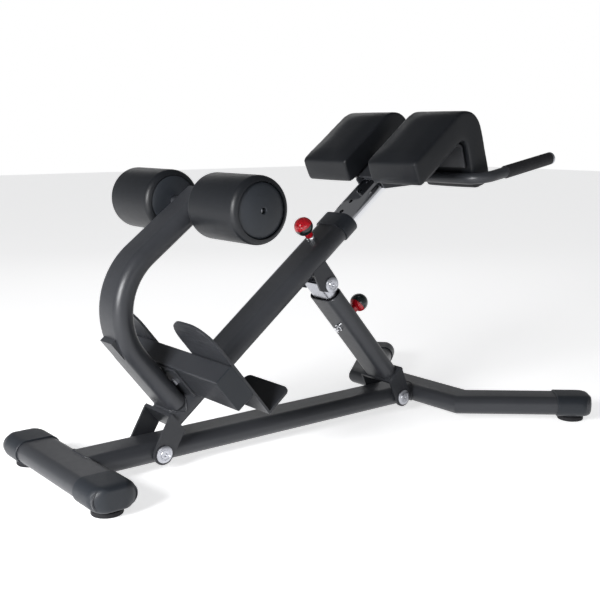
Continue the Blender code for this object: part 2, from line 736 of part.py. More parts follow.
def platform(lift):
    """The box across the post that carries the foot plates."""
    centre_u = BOX_U + BOX_LONG / 2
    half_u, half_w = BOX_LONG / 2, BOX_TALL / 2

    def box(shrink, corner):
        u, w = half_u - shrink, half_w - shrink
        return rounded([(-u, -w, corner), (u, -w, corner), (u, w, corner), (-u, w, corner)], 3)

    at = (centre_u, 0, BOX_W)
    length = BOX_HALF - BOX_CAP - GAP
    walls = [box(0, BOX_CORNER), box(TUBE_WALL, BOX_CORNER - 0.0013)]
    tube_box = prism("platform_tube", walls, -length, length, lift, PAINT, at, TO_MINUS_Y)
    bolt_seat = (BOX_U, 0, BRACKET_BOLT_W)
    plate = block("platform_bracket", (PLATE - 2 * GAP, 2 * BRACKET_HALF, BOX_TALL - 0.006), lift, PAINT,
                  (BOX_U - PLATE / 2, 0, BOX_W - 0.003))
    for side, sign in (("left", 1), ("right", -1)):
        cap_at = (centre_u, sign * (BOX_HALF - BOX_CAP / 2), BOX_W)
        prism(f"platform_{side}_end_cap", [box(0, BOX_CORNER)], -BOX_CAP / 2, BOX_CAP / 2, lift, PLASTIC,
              cap_at, TO_MINUS_Y)
        bolt = (bolt_seat[0], sign * BRACKET_BOLT_Y, bolt_seat[2])
        sink = rod(f"{side}_bracket_hole", 0.0053, -0.02, 0.02, lift, None, bolt, (0, pi / 2, 0))
        cut(plate, sink)
        cut(tube_box, sink)
        head = [(HEX_R * cos(pi / 3 * k), HEX_R * sin(pi / 3 * k)) for k in range(6)]
        hexagon = prism(f"{side}_bracket_bolt", [head], PLATE + GAP, PLATE + HEX_TALL, lift, ZINC, bolt,
                        (0, -pi / 2, 0))
        shank = rod(f"{side}_bracket_shank", 0.005, -0.008, PLATE + 0.002, lift, None, bolt, (0, -pi / 2, 0))
        join(hexagon, shank)
        foot_plate(side, sign, lift, BOX_U + BOX_LONG + GAP, LEAF_LOW)


def foot_plate(side, sign, lift, face_u, low_w):
    """A leaf on the platform's front face, bent forwards at its foot into a toe leaf."""
    wide = BOX_HALF - LEAF_HALF_IN
    middle_y = sign * (BOX_HALF + LEAF_HALF_IN) / 2
    half = wide / 2
    tall = LEAF_HIGH - low_w
    leaf_corners = [(-half, 0, 0), (half, 0, 0), (half, tall, LEAF_ROUND), (-half, tall, LEAF_ROUND)]
    leaf = prism(f"{side}_foot_plate", [rounded(leaf_corners, 8)], 0, LEAF_PLATE, lift, PAINT,
                 (face_u, middle_y, low_w), TO_X)
    toe_corners = [(0, -half, 0), (TOE_LONG, -half, TOE_ROUND), (TOE_LONG, half, TOE_ROUND), (0, half, 0)]
    toe = prism(f"{side}_toe_leaf", [rounded(toe_corners, 6)], 0, LEAF_PLATE, lift, None,
                (face_u, middle_y, low_w))
    join(leaf, toe)
    return leaf


# ---------------------------------------------------------------- pull pins


def pull_pin(name, rise, wall_depth, holder, slider):
    """A spring pin on a tube's face. Both frames sit on the face with +Z outwards."""
    housing_top = rise - 0.0335
    bore = PIN_R + GAP
    step = STUB_R
    housing = [
        (HOUSING_R - 0.001, housing_top),
        (HOUSING_R, housing_top - 0.001),
        (HOUSING_R, GAP),
        (step, GAP),
        (step, -TUBE_WALL),
        (bore, -TUBE_WALL),
        (bore, housing_top),
    ]
    turned(f"{name}_pin_housing", housing, holder, CHROME, steps=18)
    flat = rise - 0.0205
    red = [
        (RED_R + 0.002, flat - GAP),
        (RED_R, flat - 0.004),
        (RED_R - 0.0005, housing_top + GAP),
        (bore, housing_top + GAP),
        (bore, flat - GAP),
    ]
    turned(f"{name}_pin_red_collar", red, slider, RED, steps=18)
    start = degrees(atan2(flat - rise, (BALL_R**2 - (flat - rise) ** 2) ** 0.5))
    ball = [(0, rise + BALL_R)] + arc(0, rise, BALL_R, 80, start, 9)
    ball += [(bore, flat), (bore, flat + BALL_BORE), (0, flat + BALL_BORE)]
    turned(f"{name}_pin_ball_knob", ball, slider, GLOSS_BLACK, steps=20)
    rod(f"{name}_pin_plunger", PIN_R, -wall_depth + PIN_CLEAR, flat + BALL_BORE - GAP, slider, ZINC, steps=14)


# ---------------------------------------------------------------- strut


def strut(swing):
    yoke("front_yoke", STRUT_FOOT, STRUT_D, swing)
    outer = tube("strut_outer_tube", STRUT_FOOT, STRUT_TOP, swing, PAINT, (0, 0, STRUT_D))
    seat = (LOWER_PIN_S, 0, STRUT_D)
    cut(outer, rod("lower_pin_hole", STUB_R + GAP, -HALF_DEEP - 0.01, -INNER_DEEP / 2, swing, None, seat))
    cut(outer, rod("clamp_hole", 0.0053, INNER_DEEP / 2, HALF_DEEP + 0.01, swing, None, seat))
    face = HALF_DEEP
    clamp = [
        (0, face + 0.014),
        (0.006, face + 0.014),
        (0.0085, face + 0.012),
        (0.0085, face + 0.004),
        (0.011, face + 0.0035),
        (0.011, face + GAP),
        (0.005, face + GAP),
        (0.005, INNER_DEEP / 2 + 0.002),
        (0, INNER_DEEP / 2 + 0.002),
    ]
    turned("strut_clamp_screw", clamp, swing, CHROME, seat, steps=24)


def sliding_tube(name, low, high, holes, parent, centre, face):
    """An inner tube with a row of locking holes in one broad face."""
    size = (INNER_WIDE, INNER_DEEP)
    piece = tube(name, low, high, parent, CHROME, (0, 0, centre), size=size, wall=INNER_WALL)
    depth = 3 * INNER_WALL
    for index, hole in enumerate(holes):
        at = (hole, 0, centre + face * INNER_DEEP / 2)
        cut(piece, rod(f"{name}_hole_{index}", HOLE_R, -depth, depth, parent, None, at, steps=12))
    return piece


def strut_inner(stretch):
    holes = [LOWER_PIN_S - step * SLIDE_HOLE_PITCH for step in range(4)]
    top = TOP_PIVOT_S + INNER_STRUT_PAST
    inner = sliding_tube("strut_inner_tube", INNER_STRUT_FOOT, top, holes, stretch, STRUT_D, -1)
    cut(inner, rod("open_pivot_hole", TOP_PIVOT_R + OPEN_PIVOT_CLEAR, -HALF_WIDE, HALF_WIDE, stretch, None,
                   (TOP_PIVOT_S, 0, TOP_PIVOT_D), TO_MINUS_Y))


# ---------------------------------------------------------------- hip pads


def pad_bend():
    """The inside of a hip pad's bend, and the rear arm's two directions, in u and w."""
    lean = radians(REAR_ARM_LEAN)
    return Vector((PAD_APEX_U, PAD_W)), Vector((sin(lean), -cos(lean))), Vector((cos(lean), sin(lean)))


def hip_pad(side, sign, carriage):
    apex, along, across = pad_bend()
    top = PAD_W + PAD_THICK
    tip = apex + along * REAR_ARM_LONG
    tip_out = tip + across * REAR_ARM_THICK
    crown_u = tip_out.x + along.x * (top - tip_out.y) / along.y
    corners = [
        (PAD_FRONT_U - PAD_NOSE, PAD_W, SOFT_R),
        (apex.x, apex.y, SOFT_R),
        (tip.x, tip.y, SOFT_R),
        (tip_out.x, tip_out.y, TAIL_R),
        (crown_u, top, APEX_R),
        (PAD_FRONT_U, top, SOFT_R),
    ]
    middle = sign * (PAD_IN + PAD_OUT) / 2
    half = (PAD_OUT - PAD_IN) / 2
    outline = [rounded(corners, 5)]
    pad = prism(f"{side}_hip_pad", outline, -half, half, carriage, VINYL, (0, middle, 0), TO_MINUS_Y)
    soften(pad, 0.009)
    return pad


def carrier(carriage):
    """Bent plates under the pads, and the bracket that ties the inner tube, the plates and the handle bar."""
    apex, along, across = pad_bend()
    thick = CARRIER_PLATE
    top = PAD_W - GAP
    turn_in = SOFT_R / tan((pi / 2 + radians(REAR_ARM_LEAN)) / 2) + GAP
    bend = Vector((apex.x - turn_in, top))
    knee = apex + along * turn_in - across * GAP
    end = apex + along * PLATE_DROP - across * GAP
    start = PAD_FRONT_U + PLATE_MARGIN
    inside = knee - across * thick
    outline = [
        (start, top - thick),
        (bend.x - thick * 0.6, top - thick),
        tuple(inside + along * thick * 0.6),
        tuple(end - across * thick),
        tuple(end),
        tuple(knee),
        tuple(bend),
        (start, top),
    ]
    low, high = CARRIER_Y + thick / 2 + GAP, PAD_OUT - PLATE_MARGIN
    for side, sign in (("left", 1), ("right", -1)):
        prism(f"{side}_pad_plate", [outline], -(high - low) / 2, (high - low) / 2, carriage, PAINT,
              (0, sign * (low + high) / 2, 0), TO_MINUS_Y)
    tube_top = POST_W + INNER_DEEP / 2 + GAP
    rear = SLIDE_TOP - CHEEK_LONG
    bracket = block("pad_carrier", (CHEEK_LONG, 2 * CARRIER_Y, top - tube_top), carriage, PAINT,
                    (rear + CHEEK_LONG / 2 + CHEEK_ROUND, 0, (top + tube_top) / 2))
    cheek = around(
        (rear, POST_W, CHEEK_ROUND),
        (rear, top - CHEEK_ROUND, CHEEK_ROUND),
        (SLIDE_TOP + 2 * CHEEK_ROUND, top - CHEEK_ROUND, CHEEK_ROUND),
        (HANDLE_U, HANDLE_W, HANDLE_R + CHEEK_ROUND),
    )
    hole = circle(HANDLE_U, HANDLE_W, HANDLE_R + GAP, 32)
    for side in (1, -1):
        join(bracket, prism(f"carrier_cheek_{side + 1}", [cheek, hole], -thick / 2, thick / 2, carriage, None,
                            (0, side * CARRIER_Y, 0), TO_MINUS_Y))


def handle(carriage):
    """The transverse bar, bent forwards outside the pads, with a rubber grip and a plug on each end."""
    tilt = radians(POST_TILT)
    ahead = radians(HANDLE_RISE) - tilt
    heading = Vector((cos(ahead), 0, sin(ahead)))
    bend = HANDLE_BEND_R
    half = [(u, y) for u, y in arc(bend, HANDLE_BEND_Y - bend, bend, 180, 90, 5)]
    tip = HANDLE_LONG - GAP

    def spot(forward, y):
        point = Vector((HANDLE_U, y, HANDLE_W)) + heading * forward
        return tuple(point)

    right = [spot(tip, -HANDLE_BEND_Y)] + [spot(u, -y) for u, y in reversed(half)]
    path = right + [spot(u, y) for u, y in half] + [spot(tip, HANDLE_BEND_Y)]
    swept("handle_bar", circle(0, 0, HANDLE_R, 14), path, carriage, PAINT, 0.0025)
    for side, sign in (("left", 1), ("right", -1)):
        start = HANDLE_LONG - GRIP_LONG
        turn = (0, pi / 2 - ahead, 0)
        at = spot(0, sign * HANDLE_BEND_Y)
        bore = HANDLE_R + GAP
        ring = [(GRIP_R - 0.001, HANDLE_LONG), (GRIP_R, HANDLE_LONG - 0.001), (GRIP_R, start + 0.002)]
        ring += [(GRIP_R - 0.0015, start), (bore, start), (bore, HANDLE_LONG)]
        turned(f"{side}_grip", ring, carriage, RUBBER, at, turn, steps=20)
        low, high = HANDLE_LONG + GAP, HANDLE_LONG + PLUG_LONG
        plug = [(0, high), (GRIP_R - 0.002, high), (GRIP_R, high - 0.002), (GRIP_R, low), (0, low)]
        turned(f"{side}_end_plug", plug, carriage, ZINC, at, turn, steps=20)


def centre_on_floor(root):
    """Moves the whole object so that the middle of its box stands over the origin."""
    bpy.context.view_layer.update()
    graph = bpy.context.evaluated_depsgraph_get()
    spread = []
    for piece in PARTS.objects:
        if piece.type == "MESH":
            shape = piece.evaluated_get(graph)
            spread += [(shape.matrix_world @ Vector(corner)).x for corner in shape.bound_box]
    root.location.x = -(min(spread) + max(spread)) / 2


def build():
    root = frame("base_frame")
    base(root)
    lift = frame("post_lift", root, (REAR_PIVOT_X, 0, RAIL_Z), (0, -radians(POST_TILT), 0))
    post(lift)
    upper = frame("upper_pin_pull", lift, (PIN_U, 0, POST_FACE))
    holder = frame("upper_pin_seat", lift, (PIN_U, 0, POST_FACE))
    pull_pin("upper", UPPER_RISE, HALF_DEEP - INNER_DEEP / 2, holder, upper)
    carriage = frame("carriage_slide", lift)
    reach = [PIN_U + step * SLIDE_HOLE_PITCH for step in range(-4, 8)]
    sliding_tube("inner_tube", SLIDE_FOOT, SLIDE_TOP, reach, carriage, POST_W, 1)
    for side, sign in (("left", 1), ("right", -1)):
        hip_pad(side, sign, carriage)
    carrier(carriage)
    handle(carriage)
    swing = frame("strut_swing", root, (FRONT_PIVOT_X, 0, RAIL_Z), (0, -radians(STRUT_TILT), 0))
    strut(swing)
    strut_inner(frame("strut_stretch", swing))
    face = (LOWER_PIN_S, 0, STRUT_D - HALF_DEEP)
    holder = frame("lower_pin_seat", swing, face, (pi, 0, 0))
    lower = frame("lower_pin_pull", swing, face, (pi, 0, 0))
    pull_pin("lower", LOWER_RISE, HALF_DEEP - INNER_DEEP / 2, holder, lower)
    centre_on_floor(root)


build()
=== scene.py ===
"""Looks for the roman chair: smooth tubes, swollen pads, foam rollers, ringed bolts and their materials.

Metres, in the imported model's own frame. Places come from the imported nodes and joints.
"""

import json
from math import ceil, cos, pi, radians, sin

import bmesh
import bpy
from mathutils import Euler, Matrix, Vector
from mathutils.bvhtree import BVHTree


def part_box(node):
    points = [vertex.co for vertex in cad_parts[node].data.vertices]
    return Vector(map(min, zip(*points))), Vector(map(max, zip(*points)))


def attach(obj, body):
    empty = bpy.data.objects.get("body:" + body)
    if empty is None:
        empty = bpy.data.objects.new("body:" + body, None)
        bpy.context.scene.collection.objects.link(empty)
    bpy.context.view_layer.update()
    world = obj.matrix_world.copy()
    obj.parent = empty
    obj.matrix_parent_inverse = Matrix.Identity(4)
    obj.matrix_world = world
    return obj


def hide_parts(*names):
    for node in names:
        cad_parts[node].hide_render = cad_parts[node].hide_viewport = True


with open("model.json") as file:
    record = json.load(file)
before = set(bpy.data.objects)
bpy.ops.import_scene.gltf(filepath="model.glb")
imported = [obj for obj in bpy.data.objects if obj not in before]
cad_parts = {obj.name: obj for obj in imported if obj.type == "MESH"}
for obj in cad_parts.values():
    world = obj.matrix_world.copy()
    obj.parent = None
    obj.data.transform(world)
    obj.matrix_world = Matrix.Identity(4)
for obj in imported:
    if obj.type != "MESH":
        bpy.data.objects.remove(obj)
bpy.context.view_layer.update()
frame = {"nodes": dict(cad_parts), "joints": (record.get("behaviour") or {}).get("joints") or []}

# ---------------------------------------------------------------- sizes that the nodes don't give directly

SIDES = (("left", 1), ("right", -1))
SHARP = 35  # degrees: a steeper turn between two faces is shaded as an edge
MERGE = 0.00002  # points of a CAD node that are nearer than this are one point
AXIS_R = 1e-5  # a turned profile's points on the axis keep this radius
SOFT_EDGE = 0.0012  # bevel on the edges of a CAD node that is kept
PLATE_EDGE = 0.0016
CAP_EDGE = 0.0015
CARRIER_EDGE = 0.001
THIN_PLATE_EDGE = 0.0008
SMALL_BOLT_EDGE = 0.0006

TUBE_WALL = 0.003
INNER_WALL = 0.0025
TUBE_LIP = 0.0008  # rounding of a tube's open end
RAIL_SHARE = 0.998  # the rail's depth as a share of the bars', so that their faces don't lie on each other
HOLE_R = 0.0065  # locking holes of both sliding tubes
HOLE_PITCH = 0.040
HOLES_BELOW, HOLES_ABOVE = 4, 7  # of the inner tube's holes, counted from the one that the upper pin is in
STRUT_HOLES = 4  # the first is at the lower pin
HOLE_CUT = 0.006  # a hole's cutter reaches this far to each side of the face

WELD_R = 0.0024
WELD_STEP = 0.0016  # between the rings of a bead, of which three make a ripple
WELD_RIPPLE = 0.16  # share of the bead's radius
WELD_SIDE_STEPS = 12  # on each rounded side of a weld's loop
WELD_SINK = 0.0004  # the rail's welds run this far inside its surface
ARM_WELD_OVER = 0.0003  # the arm's weld runs this far outside its surface
ARM_WELD_SHARE = 0.985  # and is drawn in to this share of the width

BOOT_BACK = 0.045  # a boot on the base reaches this far back from its foot's centre
BOOT_FRONT = 0.050
BOOT_OVER = 0.0035  # it stands this far over its tube
BOOT_INSIDE = 0.0034  # its mouth's face starts this far inside the tube
BOOT_LIP = 0.0022
BOOT_CHAMFER = 0.0012
BOOT_ROUND = 0.034  # its end is rounded over this length
BOOT_DIP = 0.010  # the end's top comes down this far, along a curve of this power
BOOT_DIP_POWER = 1.6
BOOT_NARROWING = 0.56  # share of the width that the rounding takes off
BOOT_STEPS = 14

FOOT_GROOVES = 4
FOOT_RIM = 0.003  # the first ridge starts this high
FOOT_TOP = 0.005  # height left above the ridges
RIDGE_TALL = 0.0016  # a ridge is this tall, and the groove above it starts after a short slope
GROOVE_START = 0.0021
GROOVE_DEEP = 0.0006
BOLT_HEAD_TALL = 0.0057
BOLT_SHANK = 0.48  # share of the head's radius

COLLAR_CLEAR = 0.0004  # the collar's lower edge stands this far over the post
COLLAR_INNER = 0.0005  # and its bore this far over the tube that slides in it
COLLAR_LIP = 0.003
ARM_SINK = 0.006  # the arm starts this far inside the post
ARM_LEAN = 1.3  # degrees by which the arm's far stretch turns past square
ARM_EASE = 0.0004  # the bend's radius grows by this much
ARM_STEPS = 28

FOAM_ROUND = 0.016
FOAM_TURN = 78  # degrees that the rounding of a roller's end turns through
FOAM_THROAT = 0.0615  # radius of the recess that the hub's disc sits in
CORE_R = 0.0202
DISC_R = 0.0600
BULGE_R = 0.0585  # the disc's bulge ends here, and its rim begins
DISC_RISE = 0.0105  # how far the disc bulges, along a curve of this power
DISC_POWER = 2.2
DISC_STEPS = 8
DIMPLE_R = 0.0085
AXLE_BORE_R = 0.0133

PIN_BORE_R = 0.0043
PIN_NECK_R = 0.0045
TONE_EDGE = 0.0012  # half the width over which a ball's colour changes

PAD_VOXEL = 0.005
PAD_SHRINK = 0.0045  # a pad starts this much smaller, and its pressure swells it back
PAD_SMOOTHING = 22
PAD_HELD = 0.010  # points of a pad this near its plate are held by the cloth
PAD_PRESSURE = 4
CLOTH_FRAMES = 20
PAD_SWELL = 0.009  # the most that a point of a pad may move
SWELL_EVENING = 60  # passes that even the swelling out, because a moulded skin holds no wrinkles
SCREW_R = 0.0062
SCREW_SEAT = 0.0052  # the pads' screws sit this far below their plate's highest point
# Each screw's distance from its plate's rear end, and how far it is off the plate's middle.
PAD_SCREWS = ((0.022, 0.045), (0.022, -0.045), (0.095, 0.045))

HANDLE_BEND = 0.050  # radius of each bend, on the bar's centre line
HANDLE_STEPS = 12
GRIP_RINGS = 64  # every second one is pressed in
GRIP_PRESSED = 0.00028
GRIP_PLAIN = 0.003  # smooth length at each end of a grip
GRIP_CLEAR = 0.0003
PLUG_ROUND = 0.003

TINT_SCALE = 14
GLOSS_SCALE = 60
COAT_ROUGH = 0.18
RELIEF_DEEP = 0.0006
HIGHLIGHT_FROM, HIGHLIGHT_TO = 0.52, 0.60  # pointiness at which the painted highlight on a convex edge starts, and where it is full

JOINTS = {joint["name"]: joint for joint in frame["joints"]}


# ---------------------------------------------------------------- frames and measures


class Axes:
    """A local frame: along, side and up directions at an origin."""

    def __init__(self, origin, along, side, up):
        self.origin = Vector(origin)
        self.axes = [Vector(along).normalized(), Vector(side).normalized(), Vector(up).normalized()]

    def point(self, a, b, c):
        return self.origin + self.axes[0] * a + self.axes[1] * b + self.axes[2] * c

    def extent(self, node):
        """Lowest and highest corner of a node, measured along these axes."""
        places = [v.co - self.origin for v in frame["nodes"][node].data.vertices]
        spans = [[place.dot(axis) for place in places] for axis in self.axes]
        return [min(span) for span in spans], [max(span) for span in spans]


def in_plane(joint, direction):
    """Axes at a hinge, along a direction in the XZ plane, with Y as the side."""
    along = Vector(direction)
    return Axes(JOINTS[joint]["pos_m"], along, (0, 1, 0), along.cross(Vector((0, 1, 0))))


POST = in_plane("post_tilt", JOINTS["pad_slide"]["axis"])
STRUT = in_plane("strut_swing", JOINTS["strut_extend"]["axis"])


def middle(node):
    low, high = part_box(node)
    return (low + high) / 2


# ---------------------------------------------------------------- materials


def material(
    name,
    colour,
    rough,
    metal=0.0,
    coat=0.0,
    grain=900,
    bump=0.08,
    mottle=0.10,
    spread=0.05,
    edge_highlight=0.0,
    shine=0.35,
):
    """A procedural finish: fine bump, slow colour variation and uneven gloss."""
    look = bpy.data.materials.new(name)
    look.use_nodes = True
    nodes, links = look.node_tree.nodes, look.node_tree.links
    shader = nodes["Principled BSDF"]
    shader.inputs["Metallic"].default_value = metal
    shader.inputs["Specular IOR Level"].default_value = shine
    shader.inputs["Coat Weight"].default_value = coat
    shader.inputs["Coat Roughness"].default_value = COAT_ROUGH
    place = nodes.new("ShaderNodeTexCoord").outputs["Object"]

    def noise(scale, detail=3):
        node = nodes.new("ShaderNodeTexNoise")
        node.inputs["Scale"].default_value = scale
        node.inputs["Detail"].default_value = detail
        links.new(place, node.inputs["Vector"])
        return node.outputs["Fac"]

    tint = nodes.new("ShaderNodeMix")
    tint.data_type = "RGBA"
    links.new(noise(TINT_SCALE), tint.inputs["Factor"])
    tint.inputs["A"].default_value = (*[c * (1 - mottle) for c in colour], 1)
    tint.inputs["B"].default_value = (*[c * (1 + mottle) for c in colour], 1)
    shown = tint.outputs["Result"]
    # Painted highlight: convex edges, found by pointiness, are mixed towards a paler tone of the colour.
    if edge_highlight:
        edge = nodes.new("ShaderNodeMapRange")
        links.new(nodes.new("ShaderNodeNewGeometry").outputs["Pointiness"], edge.inputs["Value"])
        edge.inputs["From Min"].default_value = HIGHLIGHT_FROM
        edge.inputs["From Max"].default_value = HIGHLIGHT_TO
        edge.inputs["To Max"].default_value = edge_highlight
        highlight_mix = nodes.new("ShaderNodeMix")
        highlight_mix.data_type = "RGBA"
        links.new(edge.outputs["Result"], highlight_mix.inputs["Factor"])
        links.new(shown, highlight_mix.inputs["A"])
        highlight_mix.inputs["B"].default_value = (*[min(1, c * 3 + 0.02) for c in colour], 1)
        shown = highlight_mix.outputs["Result"]
    links.new(shown, shader.inputs["Base Color"])
    gloss = nodes.new("ShaderNodeMapRange")
    links.new(noise(GLOSS_SCALE), gloss.inputs["Value"])
    gloss.inputs["To Min"].default_value = max(0.02, rough - spread)
    gloss.inputs["To Max"].default_value = rough + spread
    links.new(gloss.outputs["Result"], shader.inputs["Roughness"])
    relief = nodes.new("ShaderNodeBump")
    relief.inputs["Strength"].default_value = bump
    relief.inputs["Distance"].default_value = RELIEF_DEEP
    links.new(noise(grain, 2), relief.inputs["Height"])
    links.new(relief.outputs["Normal"], shader.inputs["Normal"])
    return look


def two_tone(name, centre, axis, level, below, above):
    """A gloss plastic that changes colour across a plane square to the axis."""
    look = material(name, below, 0.16, coat=0.6, bump=0.01)
    nodes, links = look.node_tree.nodes, look.node_tree.links
    away = nodes.new("ShaderNodeVectorMath")
    away.operation = "SUBTRACT"
    links.new(nodes.new("ShaderNodeTexCoord").outputs["Object"], away.inputs[0])
    away.inputs[1].default_value = centre
    along = nodes.new("ShaderNodeVectorMath")
    along.operation = "DOT_PRODUCT"
    links.new(away.outputs["Vector"], along.inputs[0])
    along.inputs[1].default_value = axis
    step = nodes.new("ShaderNodeMapRange")
    links.new(along.outputs["Value"], step.inputs["Value"])
    step.inputs["From Min"].default_value = level - TONE_EDGE
    step.inputs["From Max"].default_value = level + TONE_EDGE
    blend = nodes.new("ShaderNodeMix")
    blend.data_type = "RGBA"
    links.new(step.outputs["Result"], blend.inputs["Factor"])
    blend.inputs["A"].default_value = (*below, 1)
    blend.inputs["B"].default_value = (*above, 1)
    links.new(blend.outputs["Result"], nodes["Principled BSDF"].inputs["Base Color"])
    return look


LOOKS = {
    "frame_paint": material(
        "anthracite_powder",
        (0.025, 0.0265, 0.0305),
        0.36,
        metal=0.10,
        coat=0.04,
        grain=1100,
        bump=0.14,
        edge_highlight=0.2,
    ),
    "moulded_plastic": material("moulded_plastic", (0.016, 0.019, 0.024), 0.44, grain=1500, bump=0.12),
    "rubber": material("foot_rubber", (0.012, 0.012, 0.014), 0.68, grain=800, bump=0.2, shine=0.25),
    "grip_rubber": material("grip_rubber", (0.014, 0.014, 0.016), 0.58, grain=1300, bump=0.6, shine=0.25),
    "roller_foam": material("roller_skin", (0.0068, 0.0078, 0.0098), 0.42, grain=700, bump=0.10, shine=0.3),
    "pad_vinyl": material("pad_skin", (0.0065, 0.0075, 0.0095), 0.42, grain=520, bump=0.20, shine=0.3),
    "chrome": material("chrome", (0.80, 0.81, 0.84), 0.09, 1.0, bump=0.01, mottle=0.02, spread=0.03),
    "zinc": material("zinc", (0.50, 0.51, 0.55), 0.30, 1.0, grain=600, bump=0.06, spread=0.10),
    "red_plastic": material("red_plastic", (0.52, 0.006, 0.016), 0.20, coat=0.5, bump=0.02),
    "black_gloss": material("black_gloss", (0.008, 0.013, 0.014), 0.16, coat=0.6, bump=0.01),
}

# ---------------------------------------------------------------- making pieces


def piece(name, mesh, body, slot, stands_for=(), look=None, sharp=SHARP):
    """A visible piece that rides on a body, in place of the CAD nodes it stands for."""
    obj = bpy.data.objects.new(name, mesh)
    bpy.context.scene.collection.objects.link(obj)
    mesh.shade_smooth()
    mesh.set_sharp_from_angle(angle=radians(sharp))
    mesh.materials.append(look or LOOKS[slot])
    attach(obj, body)
    if stands_for:
        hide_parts(*stands_for)
    return obj


def skin(name, rings, round_trip=False):
    """A mesh of quads between rings of points. round_trip joins the last ring to the first."""
    count = len(rings[0])
    verts = [tuple(p) for ring in rings for p in ring]
    spans = len(rings) if round_trip else len(rings) - 1
    faces = []
    for r in range(spans):
        a, b = r * count, ((r + 1) % len(rings)) * count
        faces += [(a + k, a + (k + 1) % count, b + (k + 1) % count, b + k) for k in range(count)]
    if not round_trip:
        faces += [tuple(range(count)), tuple(range((len(rings) - 1) * count, len(verts)))]
    mesh = bpy.data.meshes.new(name)
    mesh.from_pydata(verts, [], faces)
    tidy = bmesh.new()
    tidy.from_mesh(mesh)
    bmesh.ops.remove_doubles(tidy, verts=tidy.verts, dist=1e-6)
    bmesh.ops.recalc_face_normals(tidy, faces=tidy.faces)
    tidy.to_mesh(mesh)
    tidy.free()
    return mesh


def oval(wide, deep, grow=0.0, steps=20):
    """A flat oval's points: side and up."""
    flat, radius = (wide - deep) / 2, deep / 2 + grow
    points = []
    for side, start in ((1, -90), (-1, 90)):
        turns = [radians(start + 180 * k / steps) for k in range(steps + 1)]
        points += [(side * flat + radius * cos(t), radius * sin(t)) for t in turns]
    return points


def hollow_tube(name, axes, low, high, wide, deep, wall, at=0.0):
    """A flat-oval tube along the axes' first direction, open at both ends, with a small rounded lip."""
    lip = min(TUBE_LIP, wall / 3)
    plan = [(low, -lip), (low + lip, 0), (high - lip, 0), (high, -lip), (high, -wall), (low, -wall)]
    rings = [[axes.point(a, y, at + z) for y, z in oval(wide, deep, grow)] for a, grow in plan]
    return skin(name, rings, round_trip=True)


def lathe(name, profile, centre, axis, steps=72):
    """Radius and height points turned about an axis through the centre."""
    axis = Vector(axis).normalized()
    first = axis.orthogonal().normalized()
    second = axis.cross(first)
    rings = []
    for radius, height in profile:
        radius = max(radius, AXIS_R)
        turns = [2 * pi * k / steps for k in range(steps)]
        rings.append(
            [Vector(centre) + axis * height + (first * cos(t) + second * sin(t)) * radius for t in turns]
        )
    return skin(name, rings)


def curve_points(radius_at, height_at, radius, start, end, steps=8):
    """An arc of a turned profile, in degrees from straight outwards."""
    turns = [radians(start + (end - start) * k / steps) for k in range(steps + 1)]
    return [(radius_at + radius * cos(t), height_at + radius * sin(t)) for t in turns]


def sweep(name, path, side, wide, deep):
    """A solid flat oval along a planar path; side is its fixed first direction, or None on a level path."""
    rings = []
    for index, here in enumerate(path):
        before = (here - path[index - 1]).normalized() if index else None
        after = (path[index + 1] - here).normalized() if index + 1 < len(path) else None
        heading = ((before or after) + (after or before)).normalized()
        stretch = 1 / max(0.5, heading.dot(after or before))
        across = Vector(side) if side else Vector((0, 0, 1)).cross(heading)
        across.normalize()
        up = heading.cross(across).normalized()
        wider, taller = (1, stretch) if side else (stretch, 1)
        rings.append([here + across * y * wider + up * z * taller for y, z in oval(wide, deep)])
    return skin(name, rings)


def weld(name, loop, body):
    """A bead along a closed loop of points, with the ripples that welding leaves."""
    dense = []
    for index, here in enumerate(loop):
        there = loop[(index + 1) % len(loop)]
        parts = max(1, ceil((there - here).length / WELD_STEP))
        dense += [here.lerp(there, k / parts) for k in range(parts)]
    centre = sum(dense, Vector()) / len(dense)
    turns = [2 * pi * k / 8 for k in range(8)]
    rings = []
    for index, here in enumerate(dense):
        heading = (dense[(index + 1) % len(dense)] - dense[index - 1]).normalized()
        out = (here - centre).cross(heading).normalized()
        across = heading.cross(out)
        radius = WELD_R * (1 + WELD_RIPPLE * sin(index * 2 * pi / 3.0))
        rings.append([here + (out * cos(t) + across * sin(t)) * radius for t in turns])
    return piece(name, skin(name, rings, round_trip=True), body, "frame_paint", sharp=60)


def keep(node, slot, edge=SOFT_EDGE):
    """Gives a CAD node whose shape is right its finish and softened edges."""
    obj = frame["nodes"][node]
    obj.data.materials.clear()
    obj.data.materials.append(LOOKS[slot])
    if edge:
        weld_up = obj.modifiers.new("joined", "WELD")
        weld_up.merge_threshold = MERGE
        soft = obj.modifiers.new("soft_edges", "BEVEL")
        soft.width = edge
        soft.segments = 3
        soft.limit_method = "ANGLE"
        soft.angle_limit = radians(40)
        soft.harden_normals = False
    return obj


def settle(obj):
    """Applies the object's modifiers."""
    graph = bpy.context.evaluated_depsgraph_get()
    mesh = bpy.data.meshes.new_from_object(obj.evaluated_get(graph))
    obj.modifiers.clear()
    obj.data = mesh


# ---------------------------------------------------------------- base

TUBE_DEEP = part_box("rear_crossbar")[1].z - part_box("rear_crossbar")[0].z
TUBE_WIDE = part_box("rear_crossbar")[1].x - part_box("rear_crossbar")[0].x
RAIL_Z = middle("rear_crossbar").z
SIDE_FLAT = (TUBE_WIDE - TUBE_DEEP) / 2


def along_y(x):
    return Axes((x, 0, RAIL_Z), (0, 1, 0), (1, 0, 0), (0, 0, 1))


def round_side(height):
    """How far out a flat-oval tube's side is at this height from its middle."""
    return SIDE_FLAT + max(0.0, (TUBE_DEEP / 2) ** 2 - height**2) ** 0.5


